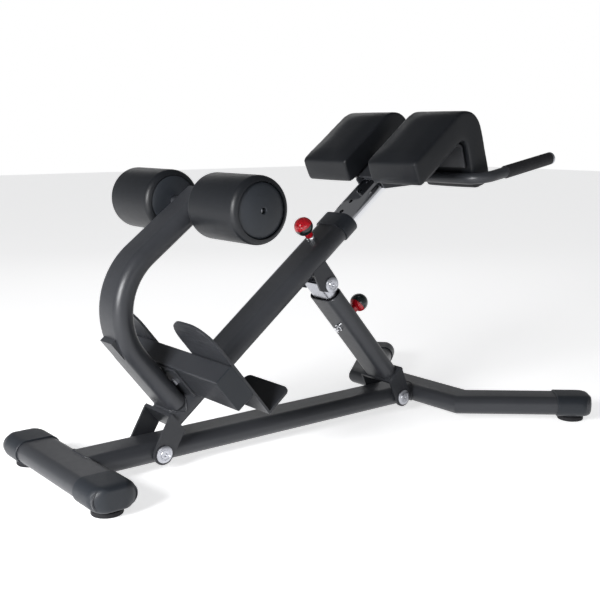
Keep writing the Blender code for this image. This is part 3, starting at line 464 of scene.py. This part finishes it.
def leg_line(node):
    """The near and far ends of a front leg's centre line, as the middles of its end rings."""
    places = {tuple(round(c, 5) for c in v.co) for v in frame["nodes"][node].data.vertices}
    spots = [Vector(p) for p in places]
    split = sum(abs(p.y) for p in spots) / len(spots)
    near = [p for p in spots if abs(p.y) < split]
    far = [p for p in spots if abs(p.y) >= split]
    return [sum(group, Vector()) / len(group) for group in (near, far)]


def boot(name, foot_node, heading):
    """A moulded boot: the tube's section grown a little, rounded off in plan and over its end."""
    foot = middle(foot_node)
    axes = Axes((foot.x, foot.y, RAIL_Z), heading, (-heading.y, heading.x, 0), (0, 0, 1))
    # Each row is a place along the tube, how far over the tube it stands, and the share of the width kept.
    plan = [(-BOOT_BACK, -BOOT_INSIDE, 1.0), (-BOOT_BACK, BOOT_LIP, 1.0)]
    plan.append((-BOOT_BACK + BOOT_CHAMFER, BOOT_OVER, 1.0))
    for k in range(BOOT_STEPS + 1):
        turn = pi / 2 * k / BOOT_STEPS
        a = BOOT_FRONT - BOOT_ROUND + BOOT_ROUND * sin(turn)
        fall = 1 - cos(turn)
        plan.append((a, BOOT_OVER - BOOT_DIP * fall**BOOT_DIP_POWER, 1 - BOOT_NARROWING * fall))
    rings = []
    for a, grow, share in plan:
        rings.append([axes.point(a, y * share, z) for y, z in oval(TUBE_WIDE, TUBE_DEEP, grow)])
    return piece(name, skin(name, rings), "base", "moulded_plastic", [name.replace("_boot", "_end_cap")])


def foot_disc(node):
    """A rubber foot with a stepped rim and shallow grooves round its side."""
    low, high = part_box(node)
    radius, tall = (high.x - low.x) / 2, high.z - low.z
    side = []
    for k in range(FOOT_GROOVES):
        at = FOOT_RIM + k * (tall - FOOT_RIM - FOOT_TOP) / FOOT_GROOVES
        side += [(radius, at), (radius, at + RIDGE_TALL), (radius - GROOVE_DEEP, at + GROOVE_START)]
    profile = [(0, 0), (radius - 0.003, 0), (radius - 0.001, 0.0008)] + side
    profile += [(radius - 0.0015, tall - 0.0035), (radius - 0.004, tall - 0.0025)]
    profile += [(radius - 0.004, tall), (0, tall)]
    centre = ((low.x + high.x) / 2, (low.y + high.y) / 2, low.z)
    return piece(f"{node}_disc", lathe(node, profile, centre, (0, 0, 1)), "base", "rubber", [node])


def ringed_bolt(name, node, body):
    """A pivot bolt along Y with a head of concentric rings at each end."""
    low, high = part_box(node)
    centre = (low + high) / 2
    radius, half = (high.x - low.x) / 2, (high.y - low.y) / 2
    head = [
        (0, half - 0.0020),
        (radius * 0.20, half - 0.0020),
        (radius * 0.24, half - 0.0002),
        (radius * 0.50, half),
        (radius * 0.54, half - 0.0014),
        (radius * 0.62, half - 0.0014),
        (radius * 0.66, half - 0.0004),
        (radius * 0.90, half - 0.0012),
        (radius, half - 0.0026),
        (radius, half - BOLT_HEAD_TALL),
        (radius * BOLT_SHANK, half - BOLT_HEAD_TALL),
    ]
    profile = head + [(r, -h) for r, h in reversed(head)]
    return piece(name, lathe(name, profile, centre, (0, 1, 0)), body, "zinc", [node])


def build_base():
    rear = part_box("rear_crossbar")
    rear_x = middle("rear_crossbar").x
    rear_axes = along_y(rear_x)
    mesh = hollow_tube("rear_bar", rear_axes, rear[0].y, rear[1].y, TUBE_WIDE, TUBE_DEEP, TUBE_WALL)
    piece("rear_bar", mesh, "base", "frame_paint", ["rear_crossbar"])
    bar_x = middle("front_crossbar").x
    path = []
    for node in ("left_front_leg", "right_front_leg"):
        near, far = leg_line(node)
        near = Vector((bar_x, near.y + (bar_x - near.x) * (far.y - near.y) / (far.x - near.x), RAIL_Z))
        far = Vector((far.x, far.y, RAIL_Z))
        path.append((near, far))
    (left_near, left_far), (right_near, right_far) = path
    mesh = sweep("front_tube", [left_far, left_near, right_near, right_far], None, TUBE_WIDE, TUBE_DEEP)
    piece("front_tube", mesh, "base", "frame_paint", ["front_crossbar", "left_front_leg", "right_front_leg"])
    rail = Axes((0, 0, RAIL_Z), (1, 0, 0), (0, 1, 0), (0, 0, 1))
    rise = middle("main_rail").z - RAIL_Z
    mesh = hollow_tube("rail", rail, rear_x, bar_x, TUBE_WIDE, TUBE_DEEP * RAIL_SHARE, TUBE_WALL, rise)
    piece("rail", mesh, "base", "frame_paint", ["main_rail"])
    for name, x, way in (("rear_weld", rear_x, 1), ("front_weld", bar_x, -1)):
        loop = oval(TUBE_WIDE, TUBE_DEEP, -WELD_SINK, WELD_SIDE_STEPS)
        spots = [Vector((x + way * round_side(z), y, RAIL_Z + z)) for y, z in loop]
        weld(name, spots, "base")
    out = (left_far - left_near).normalized()
    for side, sign in SIDES:
        boot(f"rear_{side}_boot", f"rear_{side}_foot", Vector((0, sign, 0)))
        boot(f"front_{side}_boot", f"front_{side}_foot", Vector((out.x, sign * abs(out.y), 0)))
    for where in ("rear", "front"):
        for side in ("left", "right"):
            foot_disc(f"{where}_{side}_foot")
        ringed_bolt(f"{where}_bolt", f"{where}_pivot_bolt", "base")
        keep(f"{where}_pivot_bush", "zinc", 0)


# ---------------------------------------------------------------- post


def build_post():
    low, high = POST.extent("main_post")
    centre = (low[2] + high[2]) / 2
    mesh = hollow_tube("post_tube", POST, low[0], high[0], TUBE_WIDE, TUBE_DEEP, TUBE_WALL, centre)
    piece("post_tube", mesh, "post", "frame_paint", ["main_post"])
    low, high = POST.extent("post_collar")
    inner_low, inner_high = POST.extent("inner_tube")
    inner_wide, inner_deep = inner_high[1] - inner_low[1], inner_high[2] - inner_low[2]
    wall = (high[1] - low[1] - TUBE_WIDE) / 2
    lip = COLLAR_LIP
    turns = [pi / 8 * k for k in range(1, 5)]
    plan = [(low[0], COLLAR_CLEAR), (low[0] + 0.001, wall), (high[0] - lip, wall)]
    plan += [(high[0] - lip + lip * sin(t), wall - lip * (1 - cos(t))) for t in turns]
    rings = [[POST.point(a, y, centre + z) for y, z in oval(TUBE_WIDE, TUBE_DEEP, grow)] for a, grow in plan]
    for a in (high[0], low[0]):
        rings.append([POST.point(a, y, centre + z) for y, z in oval(inner_wide, inner_deep, COLLAR_INNER)])
    piece("collar", skin("collar", rings, round_trip=True), "post", "moulded_plastic", ["post_collar"])
    build_arm(centre)
    ringed_bolt("top_bolt", "top_pivot_bolt", "post")
    for node in ("rear_yoke", "strut_bracket", "arm_gusset_plate", "platform_tube", "platform_bracket"):
        keep(node, "frame_paint")
    for node in ("left_foot_plate", "right_foot_plate"):
        keep(node, "frame_paint", PLATE_EDGE)
    for side in ("left", "right"):
        keep(f"platform_{side}_end_cap", "moulded_plastic", CAP_EDGE)
        keep(f"{side}_bracket_bolt", "zinc", SMALL_BOLT_EDGE)
    keep("roller_axle", "zinc", 0)


def build_arm(centre):
    """The curved arm. Its bend starts where the node's rear side stops being straight."""
    low, high = POST.extent("roller_arm")
    half = TUBE_DEEP / 2
    start_u = low[0] + half
    places = [vertex.co - POST.origin for vertex in frame["nodes"]["roller_arm"].data.vertices]
    rear = [place.dot(POST.axes[2]) for place in places if abs(place.dot(POST.axes[0]) - low[0]) < 2e-4]
    bend_w = max(rear)
    top_w = high[2] - half
    radius = top_w - bend_w + ARM_EASE
    end_u = high[0]
    bend = [pi - radians(90 + ARM_LEAN) * k / ARM_STEPS for k in range(ARM_STEPS + 1)]
    flat = [(start_u, centre + half - ARM_SINK)]
    flat += [(start_u + radius + radius * cos(t), bend_w + radius * sin(t)) for t in bend]
    flat.append((end_u, flat[-1][1] - (end_u - flat[-1][0]) * sin(radians(ARM_LEAN))))
    path = [POST.point(u, 0, w) for u, w in flat]
    piece("arm", sweep("arm", path, (0, 1, 0), TUBE_WIDE, TUBE_DEEP), "post", "frame_paint", ["roller_arm"])
    spots = []
    for y, u in oval(TUBE_WIDE, TUBE_DEEP, ARM_WELD_OVER, WELD_SIDE_STEPS):
        drop = max(0.0, abs(y) - SIDE_FLAT)
        height = max(0.0, half**2 - drop**2) ** 0.5
        spots.append(POST.point(start_u + u, y * ARM_WELD_SHARE, centre + height))
    weld("arm_weld", spots, "post")


# ---------------------------------------------------------------- rollers


def foam_profile(radius, near, far):
    """A roller's sleeve: rounded ends, each with a recess for a disc, and a bore for the hub."""
    foam = [(CORE_R, near + 0.015), (FOAM_THROAT, near + 0.012), (FOAM_THROAT, near + 0.004)]
    foam += curve_points(radius - FOAM_ROUND, near + FOAM_ROUND, FOAM_ROUND, -FOAM_TURN, 0)
    foam += curve_points(radius - FOAM_ROUND, far - FOAM_ROUND, FOAM_ROUND, 0, FOAM_TURN)
    foam += [(FOAM_THROAT + 0.0005, far - 0.002), (FOAM_THROAT, far - 0.004)]
    return foam + [(FOAM_THROAT, far - 0.016), (CORE_R, far - 0.018)]


def hub_profile(inside, out):
    """A hub: a domed outer disc with a dimple for its screw, a core, and a flatter inner disc."""
    disc = [(0, out - 0.013), (0.0055, out - 0.013), (0.0066, out - 0.0012), (DIMPLE_R, out)]
    for k in range(1, DISC_STEPS + 1):
        r = DIMPLE_R + (BULGE_R - DIMPLE_R) * k / DISC_STEPS
        disc.append((r, out - DISC_RISE * (r / DISC_R) ** DISC_POWER))
    disc += [(DISC_R, out - 0.0118), (DISC_R + 0.0002, out - 0.016), (CORE_R, out - 0.016)]
    disc += [(CORE_R, inside + 0.012), (DISC_R, inside + 0.012), (DISC_R, inside + 0.007)]
    disc += [(0.052, inside + 0.003), (0.020, inside + 0.0005), (AXLE_BORE_R, inside)]
    return disc + [(AXLE_BORE_R, out - 0.020), (0, out - 0.020)]


def hub_screw_profile(out):
    screw = [(0, out - 0.0085), (0.0012, out - 0.0085), (0.0016, out - 0.0076), (0.0038, out - 0.0080)]
    return screw + [(0.0048, out - 0.0095), (0.0048, out - 0.0135), (0, out - 0.0135)]


def build_rollers():
    for side, sign in SIDES:
        body, axis = f"{side}_roller", (0, sign, 0)
        centre = Vector(JOINTS[f"{side}_roller_spin"]["pos_m"])
        low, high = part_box(f"{side}_roller_foam")
        near, far = sorted((abs(low.y), abs(high.y)))
        mesh = lathe(f"{side}_foam", foam_profile((high.x - low.x) / 2, near, far), centre, axis, 96)
        sleeve = piece(f"{side}_foam", mesh, body, "roller_foam", [f"{side}_roller_foam"])
        low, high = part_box(f"{side}_roller_hub")
        inside, out = sorted((abs(low.y), abs(high.y)))
        mesh = lathe(f"{side}_hub", hub_profile(inside, out), centre, axis, 96)
        piece(f"{side}_hub", mesh, body, "moulded_plastic", [f"{side}_roller_hub"])
        mesh = lathe("screw", hub_screw_profile(out), centre, axis, 36)
        piece(f"{side}_hub_screw", mesh, body, "zinc")


# ---------------------------------------------------------------- pull pins


def build_pin(which, axes_joint, holder, slider, tones):
    """A chrome housing, a red neck and a two-coloured ball, along the pin's own axis."""
    axis = Vector(JOINTS[axes_joint]["axis"])
    side = axis.cross(Vector((0, 1, 0)))
    line = Axes(middle(f"{which}_pin_ball_knob"), axis, (0, 1, 0), side)
    low, high = line.extent(f"{which}_pin_ball_knob")
    radius = (high[1] - low[1]) / 2
    ball_at = high[0] - radius
    centre = line.point(ball_at, 0, (low[2] + high[2]) / 2)
    line = Axes(centre, axis, (0, 1, 0), side)
    ball = curve_points(0, 0, radius, 90, -56, 30)
    ball += [(PIN_NECK_R, low[0] - ball_at), (PIN_NECK_R, -radius * 0.5), (0, -radius * 0.5)]
    tone = two_tone(f"{which}_ball_tones", centre, axis, *tones)
    mesh = lathe("ball", ball, centre, axis, 64)
    piece(f"{which}_ball", mesh, slider, "black_gloss", [f"{which}_pin_ball_knob"], tone)
    low, high = line.extent(f"{which}_pin_red_collar")
    wide = (high[1] - low[1]) / 2
    neck = [(PIN_BORE_R, high[0]), (wide, high[0]), (wide - 0.0016, high[0] - 0.003)]
    neck += [(wide - 0.0018, low[0] + 0.0012), (wide - 0.0026, low[0]), (PIN_BORE_R, low[0])]
    mesh = lathe("neck", neck, centre, axis, 48)
    piece(f"{which}_red_neck", mesh, slider, "red_plastic", [f"{which}_pin_red_collar"])
    low, high = line.extent(f"{which}_pin_housing")
    wide = (high[1] - low[1]) / 2
    top, foot = high[0], low[0]
    shell = [(PIN_BORE_R, top), (wide - 0.0016, top), (wide - 0.0004, top - 0.001), (wide, top - 0.0025)]
    shell += [(wide, top - 0.006), (wide - 0.0008, top - 0.0066), (wide - 0.0008, top - 0.0078)]
    shell += [(wide, top - 0.0084), (wide, foot + 0.0031), (0.006, foot + 0.0031), (0.006, foot)]
    shell.append((PIN_BORE_R, foot))
    mesh = lathe("housing", shell, centre, axis, 48)
    piece(f"{which}_housing", mesh, holder, "chrome", [f"{which}_pin_housing"])
    keep(f"{which}_pin_plunger", "zinc", 0)


# ---------------------------------------------------------------- sliding tubes


def holed_tube(name, node, axes, body, slot, holes, face):
    """An inner tube with its row of locking holes cut through one broad face."""
    low, high = axes.extent(node)
    wide, deep = high[1] - low[1], high[2] - low[2]
    centre = (low[2] + high[2]) / 2
    mesh = hollow_tube(name, axes, low[0], high[0], wide, deep, INNER_WALL, centre)
    tube = piece(name, mesh, body, slot, [node])
    for index, along in enumerate(holes):
        at = axes.point(along, 0, centre + face * deep / 2)
        rod = [(0, -HOLE_CUT), (HOLE_R, -HOLE_CUT), (HOLE_R, HOLE_CUT), (0, HOLE_CUT)]
        cutter = bpy.data.objects.new("cutter", lathe("cutter", rod, at, axes.axes[2], 32))
        bpy.context.scene.collection.objects.link(cutter)
        cut = tube.modifiers.new(f"hole_{index}", "BOOLEAN")
        cut.operation = "DIFFERENCE"
        cut.object = cutter
        settle(tube)
        bpy.data.objects.remove(cutter, do_unlink=True)
    tube.data.set_sharp_from_angle(angle=radians(SHARP))


# ---------------------------------------------------------------- hip pads


def swell(obj, resting):
    """Blows the pad up a little, outwards only, while the cloth holds the points near its plate."""
    start = [v.co.copy() for v in obj.data.vertices]
    group = obj.vertex_groups.new(name="held")
    for index, place in enumerate(start):
        found = resting.find_nearest(place)
        if found[3] is not None and found[3] < PAD_HELD:
            group.add([index], 1.0, "REPLACE")
    cloth = obj.modifiers.new("cloth", "CLOTH")
    cloth.settings.use_pressure = True
    cloth.settings.uniform_pressure_force = PAD_PRESSURE
    cloth.settings.effector_weights.gravity = 0
    cloth.settings.vertex_group_mass = "held"
    cloth.point_cache.frame_start = 1
    cloth.point_cache.frame_end = CLOTH_FRAMES
    for step in range(1, CLOTH_FRAMES + 1):
        bpy.context.scene.frame_set(step)
    graph = bpy.context.evaluated_depsgraph_get()
    blown = [v.co.copy() for v in obj.evaluated_get(graph).data.vertices]
    obj.modifiers.clear()
    bpy.context.scene.frame_set(1)
    normals = [v.normal.copy() for v in obj.data.vertices]
    swelling = [
        max(0.0, min(PAD_SWELL, (after - before).dot(normal)))
        for before, after, normal in zip(start, blown, normals)
    ]
    near = [[] for _ in start]
    for edge in obj.data.edges:
        near[edge.vertices[0]].append(edge.vertices[1])
        near[edge.vertices[1]].append(edge.vertices[0])
    for _ in range(SWELL_EVENING):
        swelling = [
            (own + sum(swelling[n] for n in around) / len(around)) / 2 for own, around in zip(swelling, near)
        ]
    for vertex, before, normal, out in zip(obj.data.vertices, start, normals, swelling):
        vertex.co = before + normal * out


def build_pad(side):
    """A hip pad: the CAD solid remeshed, shrunk, smoothed, swollen and made finer."""
    node, plate = f"{side}_hip_pad", frame["nodes"][f"{side}_pad_plate"]
    mesh = frame["nodes"][node].data.copy()
    mesh.materials.clear()
    obj = piece(f"{side}_pad", mesh, "pad_carriage", "pad_vinyl", [node], sharp=180)
    for kind, settings in (
        ("WELD", {"merge_threshold": MERGE}),
        ("REMESH", {"mode": "VOXEL", "voxel_size": PAD_VOXEL}),
        ("DISPLACE", {"strength": -PAD_SHRINK, "mid_level": 0.0}),
        ("SMOOTH", {"factor": 0.5, "iterations": PAD_SMOOTHING}),
    ):
        made = obj.modifiers.new(kind.lower(), kind)
        for key, value in settings.items():
            setattr(made, key, value)
    settle(obj)
    plate_mesh = plate.data
    resting = BVHTree.FromPolygons(
        [v.co for v in plate_mesh.vertices], [tuple(p.vertices) for p in plate_mesh.polygons]
    )
    swell(obj, resting)
    fine = obj.modifiers.new("fine", "SUBSURF")
    fine.levels = fine.render_levels = 1
    settle(obj)
    obj.data.shade_smooth()


# ---------------------------------------------------------------- carriage and strut


def build_handle():
    """The handle: one U-shaped bar from a root between the pads, with a grip and a plug on each arm."""
    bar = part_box("handle_bar")
    tip = {side: middle(f"{side}_end_plug") for side in ("left", "right")}
    root_y = (bar[1].y - bar[0].y) / 2
    line_y = abs(tip["left"].y)
    radius = root_y - line_y
    places = [v.co for v in frame["nodes"]["handle_bar"].data.vertices]
    inmost = min(abs(p.y) for p in places) + 0.001
    rear = [p for p in places if abs(p.y) < inmost]
    root = Vector([(min(p[k] for p in rear) + max(p[k] for p in rear)) / 2 for k in range(3)])
    root.y = 0
    heading = Vector((tip["left"].x - root.x, 0, tip["left"].z - root.z)).normalized()
    bend, turns = HANDLE_BEND, [pi / 2 * k / HANDLE_STEPS for k in range(HANDLE_STEPS + 1)]
    corner = [(bend - bend * cos(t), line_y - bend + bend * sin(t)) for t in turns]
    reach = (tip["left"] - Vector((root.x, line_y, root.z))).length
    left = [root + heading * u + Vector((0, y, 0)) for u, y in corner]
    left.append(root + heading * reach + Vector((0, line_y, 0)))
    right = [Vector((p.x, -p.y, p.z)) for p in reversed(left)]
    piece("bar", round_sweep("bar", right + left, radius), "pad_carriage", "frame_paint", ["handle_bar"])
    for side, sign in SIDES:
        line = Axes((root.x, sign * line_y, root.z), heading, (0, 1, 0), heading.cross(Vector((0, 1, 0))))
        low, high = line.extent(f"{side}_grip")
        outer = (high[1] - low[1]) / 2
        bore, ribbed = radius + GRIP_CLEAR, high[0] - low[0] - 2 * GRIP_PLAIN
        sleeve = [(bore, low[0]), (outer - 0.0022, low[0]), (outer - 0.0004, low[0] + 0.0018)]
        for k in range(GRIP_RINGS):
            at = low[0] + GRIP_PLAIN + ribbed * k / (GRIP_RINGS - 1)
            sleeve.append((outer - (GRIP_PRESSED if k % 2 else 0.0), at))
        sleeve += [(outer - 0.0006, high[0] - 0.0006), (outer - 0.0016, high[0]), (bore, high[0])]
        mesh = lathe("sleeve", sleeve, line.origin, heading, 64)
        piece(f"{side}_sleeve", mesh, "pad_carriage", "grip_rubber", [f"{side}_grip"])
        low, high = line.extent(f"{side}_end_plug")
        outer = (high[1] - low[1]) / 2
        plug = [(0, low[0]), (outer - 0.0004, low[0]), (outer, low[0] + 0.0006)]
        plug.append((outer, high[0] - PLUG_ROUND))
        plug += curve_points(outer - PLUG_ROUND, high[0] - PLUG_ROUND, PLUG_ROUND, 0, 90, 6)
        plug += [(outer * 0.55, high[0]), (outer * 0.48, high[0] - 0.0010), (0, high[0] - 0.0010)]
        mesh = lathe("plug", plug, line.origin, heading, 56)
        piece(f"{side}_plug", mesh, "pad_carriage", "zinc", [f"{side}_end_plug"])


def round_sweep(name, path, radius, steps=28):
    """A round bar along a path that lies in one plane."""
    normal = (path[1] - path[0]).cross(path[-1] - path[0]).normalized()
    rings = []
    for index, here in enumerate(path):
        before = path[max(0, index - 1)]
        after = path[min(len(path) - 1, index + 1)]
        heading = (after - before).normalized()
        across = heading.cross(normal)
        turns = [2 * pi * k / steps for k in range(steps)]
        rings.append([here + (across * cos(t) + normal * sin(t)) * radius for t in turns])
    return skin(name, rings)


def dome_screw(name, centre, axis, body):
    """A button-head screw with a round recess."""
    radius, tall = SCREW_R, SCREW_R * 0.55
    profile = [(0, tall * 0.4), (radius * 0.34, tall * 0.4), (radius * 0.36, tall)]
    profile += [(radius * 0.5, tall * 0.97), (radius * 0.8, tall * 0.7), (radius, tall * 0.2)]
    profile += [(radius, 0), (0, 0)]
    return piece(name, lathe(name, profile, centre, axis, 40), body, "zinc")


def build_carriage():
    low, high = POST.extent("upper_pin_housing")
    pin_u = (low[0] + high[0]) / 2
    holes = [pin_u + HOLE_PITCH * step for step in range(-HOLES_BELOW, HOLES_ABOVE + 1)]
    holed_tube("slide_tube", "inner_tube", POST, "pad_carriage", "chrome", holes, 1)
    keep("pad_carrier", "frame_paint", CARRIER_EDGE)
    for side in ("left", "right"):
        keep(f"{side}_pad_plate", "frame_paint", THIN_PLATE_EDGE)
        build_pad(side)
    build_handle()
    for side, sign in SIDES:
        low, high = POST.extent(f"{side}_pad_plate")
        y = (low[1] + high[1]) / 2
        for index, (up, aside) in enumerate(PAD_SCREWS):
            at = POST.point(low[0] + up, y + sign * aside, high[2] - SCREW_SEAT)
            dome_screw(f"{side}_pad_screw_{index}", at, -POST.axes[2], "pad_carriage")


def build_strut():
    low, high = STRUT.extent("strut_outer_tube")
    centre = (low[2] + high[2]) / 2
    mesh = hollow_tube("strut_tube", STRUT, low[0], high[0], TUBE_WIDE, TUBE_DEEP, TUBE_WALL, centre)
    piece("strut_tube", mesh, "strut_outer", "frame_paint", ["strut_outer_tube"])
    low, high = STRUT.extent("lower_pin_housing")
    pin_s = (low[0] + high[0]) / 2
    face = 1 if (low[2] + high[2]) / 2 > centre else -1
    holes = [pin_s - HOLE_PITCH * step for step in range(STRUT_HOLES)]
    holed_tube("strut_slide", "strut_inner_tube", STRUT, "strut_inner", "zinc", holes, face)
    keep("front_yoke", "frame_paint")
    keep("strut_clamp_screw", "chrome", 0)


build_base()
build_post()
build_rollers()
RED, TEAL_BLACK = (0.55, 0.006, 0.016), (0.008, 0.014, 0.015)
build_pin("upper", "upper_pin_pull", "post", "upper_pin", (0.002, TEAL_BLACK, RED))
build_pin("lower", "lower_pin_pull", "strut_outer", "lower_pin", (-0.009, RED, TEAL_BLACK))
build_carriage()
build_strut()

# ---------------------------------------------------------------- stage, lights and camera

FLOOR_ROUGH = 0.6


def stage_sheet(name, corners, colour):
    mesh = bpy.data.meshes.new(name)
    mesh.from_pydata(corners, [], [(0, 1, 2, 3)])
    obj = bpy.data.objects.new(name, mesh)
    bpy.context.scene.collection.objects.link(obj)
    mesh.materials.append(material(name, colour, FLOOR_ROUGH, bump=0.0, mottle=0.01))
    return obj


def area_light(name, at, aim, size, power):
    data = bpy.data.lights.new(name, "AREA")
    data.shape = "RECTANGLE"
    data.size, data.size_y = size
    data.energy = power
    light = bpy.data.objects.new(name, data)
    light.location = at
    light.rotation_euler = (Vector(aim) - Vector(at)).to_track_quat("-Z", "Y").to_euler()
    bpy.context.scene.collection.objects.link(light)


SPAN = 14.0
FLOOR_GLOW = 0.66  # keeps a plain pale floor pale where little light falls
HORIZON_GLOW = 0.50  # where a ray's direction has less Z than HORIZON_RISE
CEILING_GLOW = 0.13  # and where it has more than CEILING_RISE
HORIZON_RISE = 0.02
CEILING_RISE = 0.55
FLOOR_CORNERS = [(-SPAN, -SPAN, 0), (SPAN, -SPAN, 0), (SPAN, SPAN, 0), (-SPAN, SPAN, 0)]
floor = stage_sheet("floor", FLOOR_CORNERS, (0.84, 0.84, 0.85))
floor_shader = floor.data.materials[0].node_tree.nodes["Principled BSDF"]
floor_shader.inputs["Emission Color"].default_value = (1, 1, 1, 1)
floor_shader.inputs["Emission Strength"].default_value = FLOOR_GLOW
floor_shader.inputs["Specular IOR Level"].default_value = 0.1


def build_world():
    """White where the camera sees it. As a light it is brighter at the horizon and dim at the ceiling."""
    world = bpy.data.worlds.new("studio")
    bpy.context.scene.world = world
    world.use_nodes = True
    nodes, links = world.node_tree.nodes, world.node_tree.links
    split = nodes.new("ShaderNodeSeparateXYZ")
    links.new(nodes.new("ShaderNodeTexCoord").outputs["Generated"], split.inputs["Vector"])
    fall = nodes.new("ShaderNodeMapRange")
    links.new(split.outputs["Z"], fall.inputs["Value"])
    fall.inputs["From Min"].default_value = HORIZON_RISE
    fall.inputs["From Max"].default_value = CEILING_RISE
    fall.inputs["To Min"].default_value = HORIZON_GLOW
    fall.inputs["To Max"].default_value = CEILING_GLOW
    lit = nodes["Background"]
    lit.inputs["Color"].default_value = (0.97, 0.98, 1.0, 1)
    links.new(fall.outputs["Result"], lit.inputs["Strength"])
    seen = nodes.new("ShaderNodeBackground")
    seen.inputs["Color"].default_value = (1, 1, 1, 1)
    pick = nodes.new("ShaderNodeMixShader")
    links.new(nodes.new("ShaderNodeLightPath").outputs["Is Camera Ray"], pick.inputs["Fac"])
    links.new(lit.outputs["Background"], pick.inputs[1])
    links.new(seen.outputs["Background"], pick.inputs[2])
    links.new(pick.outputs["Shader"], nodes["World Output"].inputs["Surface"])


build_world()
bpy.context.scene.view_settings.view_transform = "Standard"

area_light("key", (-3.0, -0.7, 1.25), (-0.2, 0, 0.4), (1.2, 0.9), 135)
area_light("front", (-0.8, -3.0, 0.9), (0, 0, 0.4), (1.6, 0.4), 7)
area_light("rim", (1.6, 2.6, 1.8), (0, 0, 0.4), (2.4, 0.4), 6)

rear_foot = middle("rear_left_foot")
camera_data = bpy.data.cameras.new("camera")
camera_data.sensor_width = 36
camera_data.lens = 57.72
camera = bpy.data.objects.new("camera", camera_data)
camera.location = (rear_foot.x - 0.8567, -1.9060, 0.780)
camera.rotation_euler = Euler((radians(79.884), 0, radians(-38.511)))
bpy.context.scene.collection.objects.link(camera)
bpy.context.scene.camera = camera
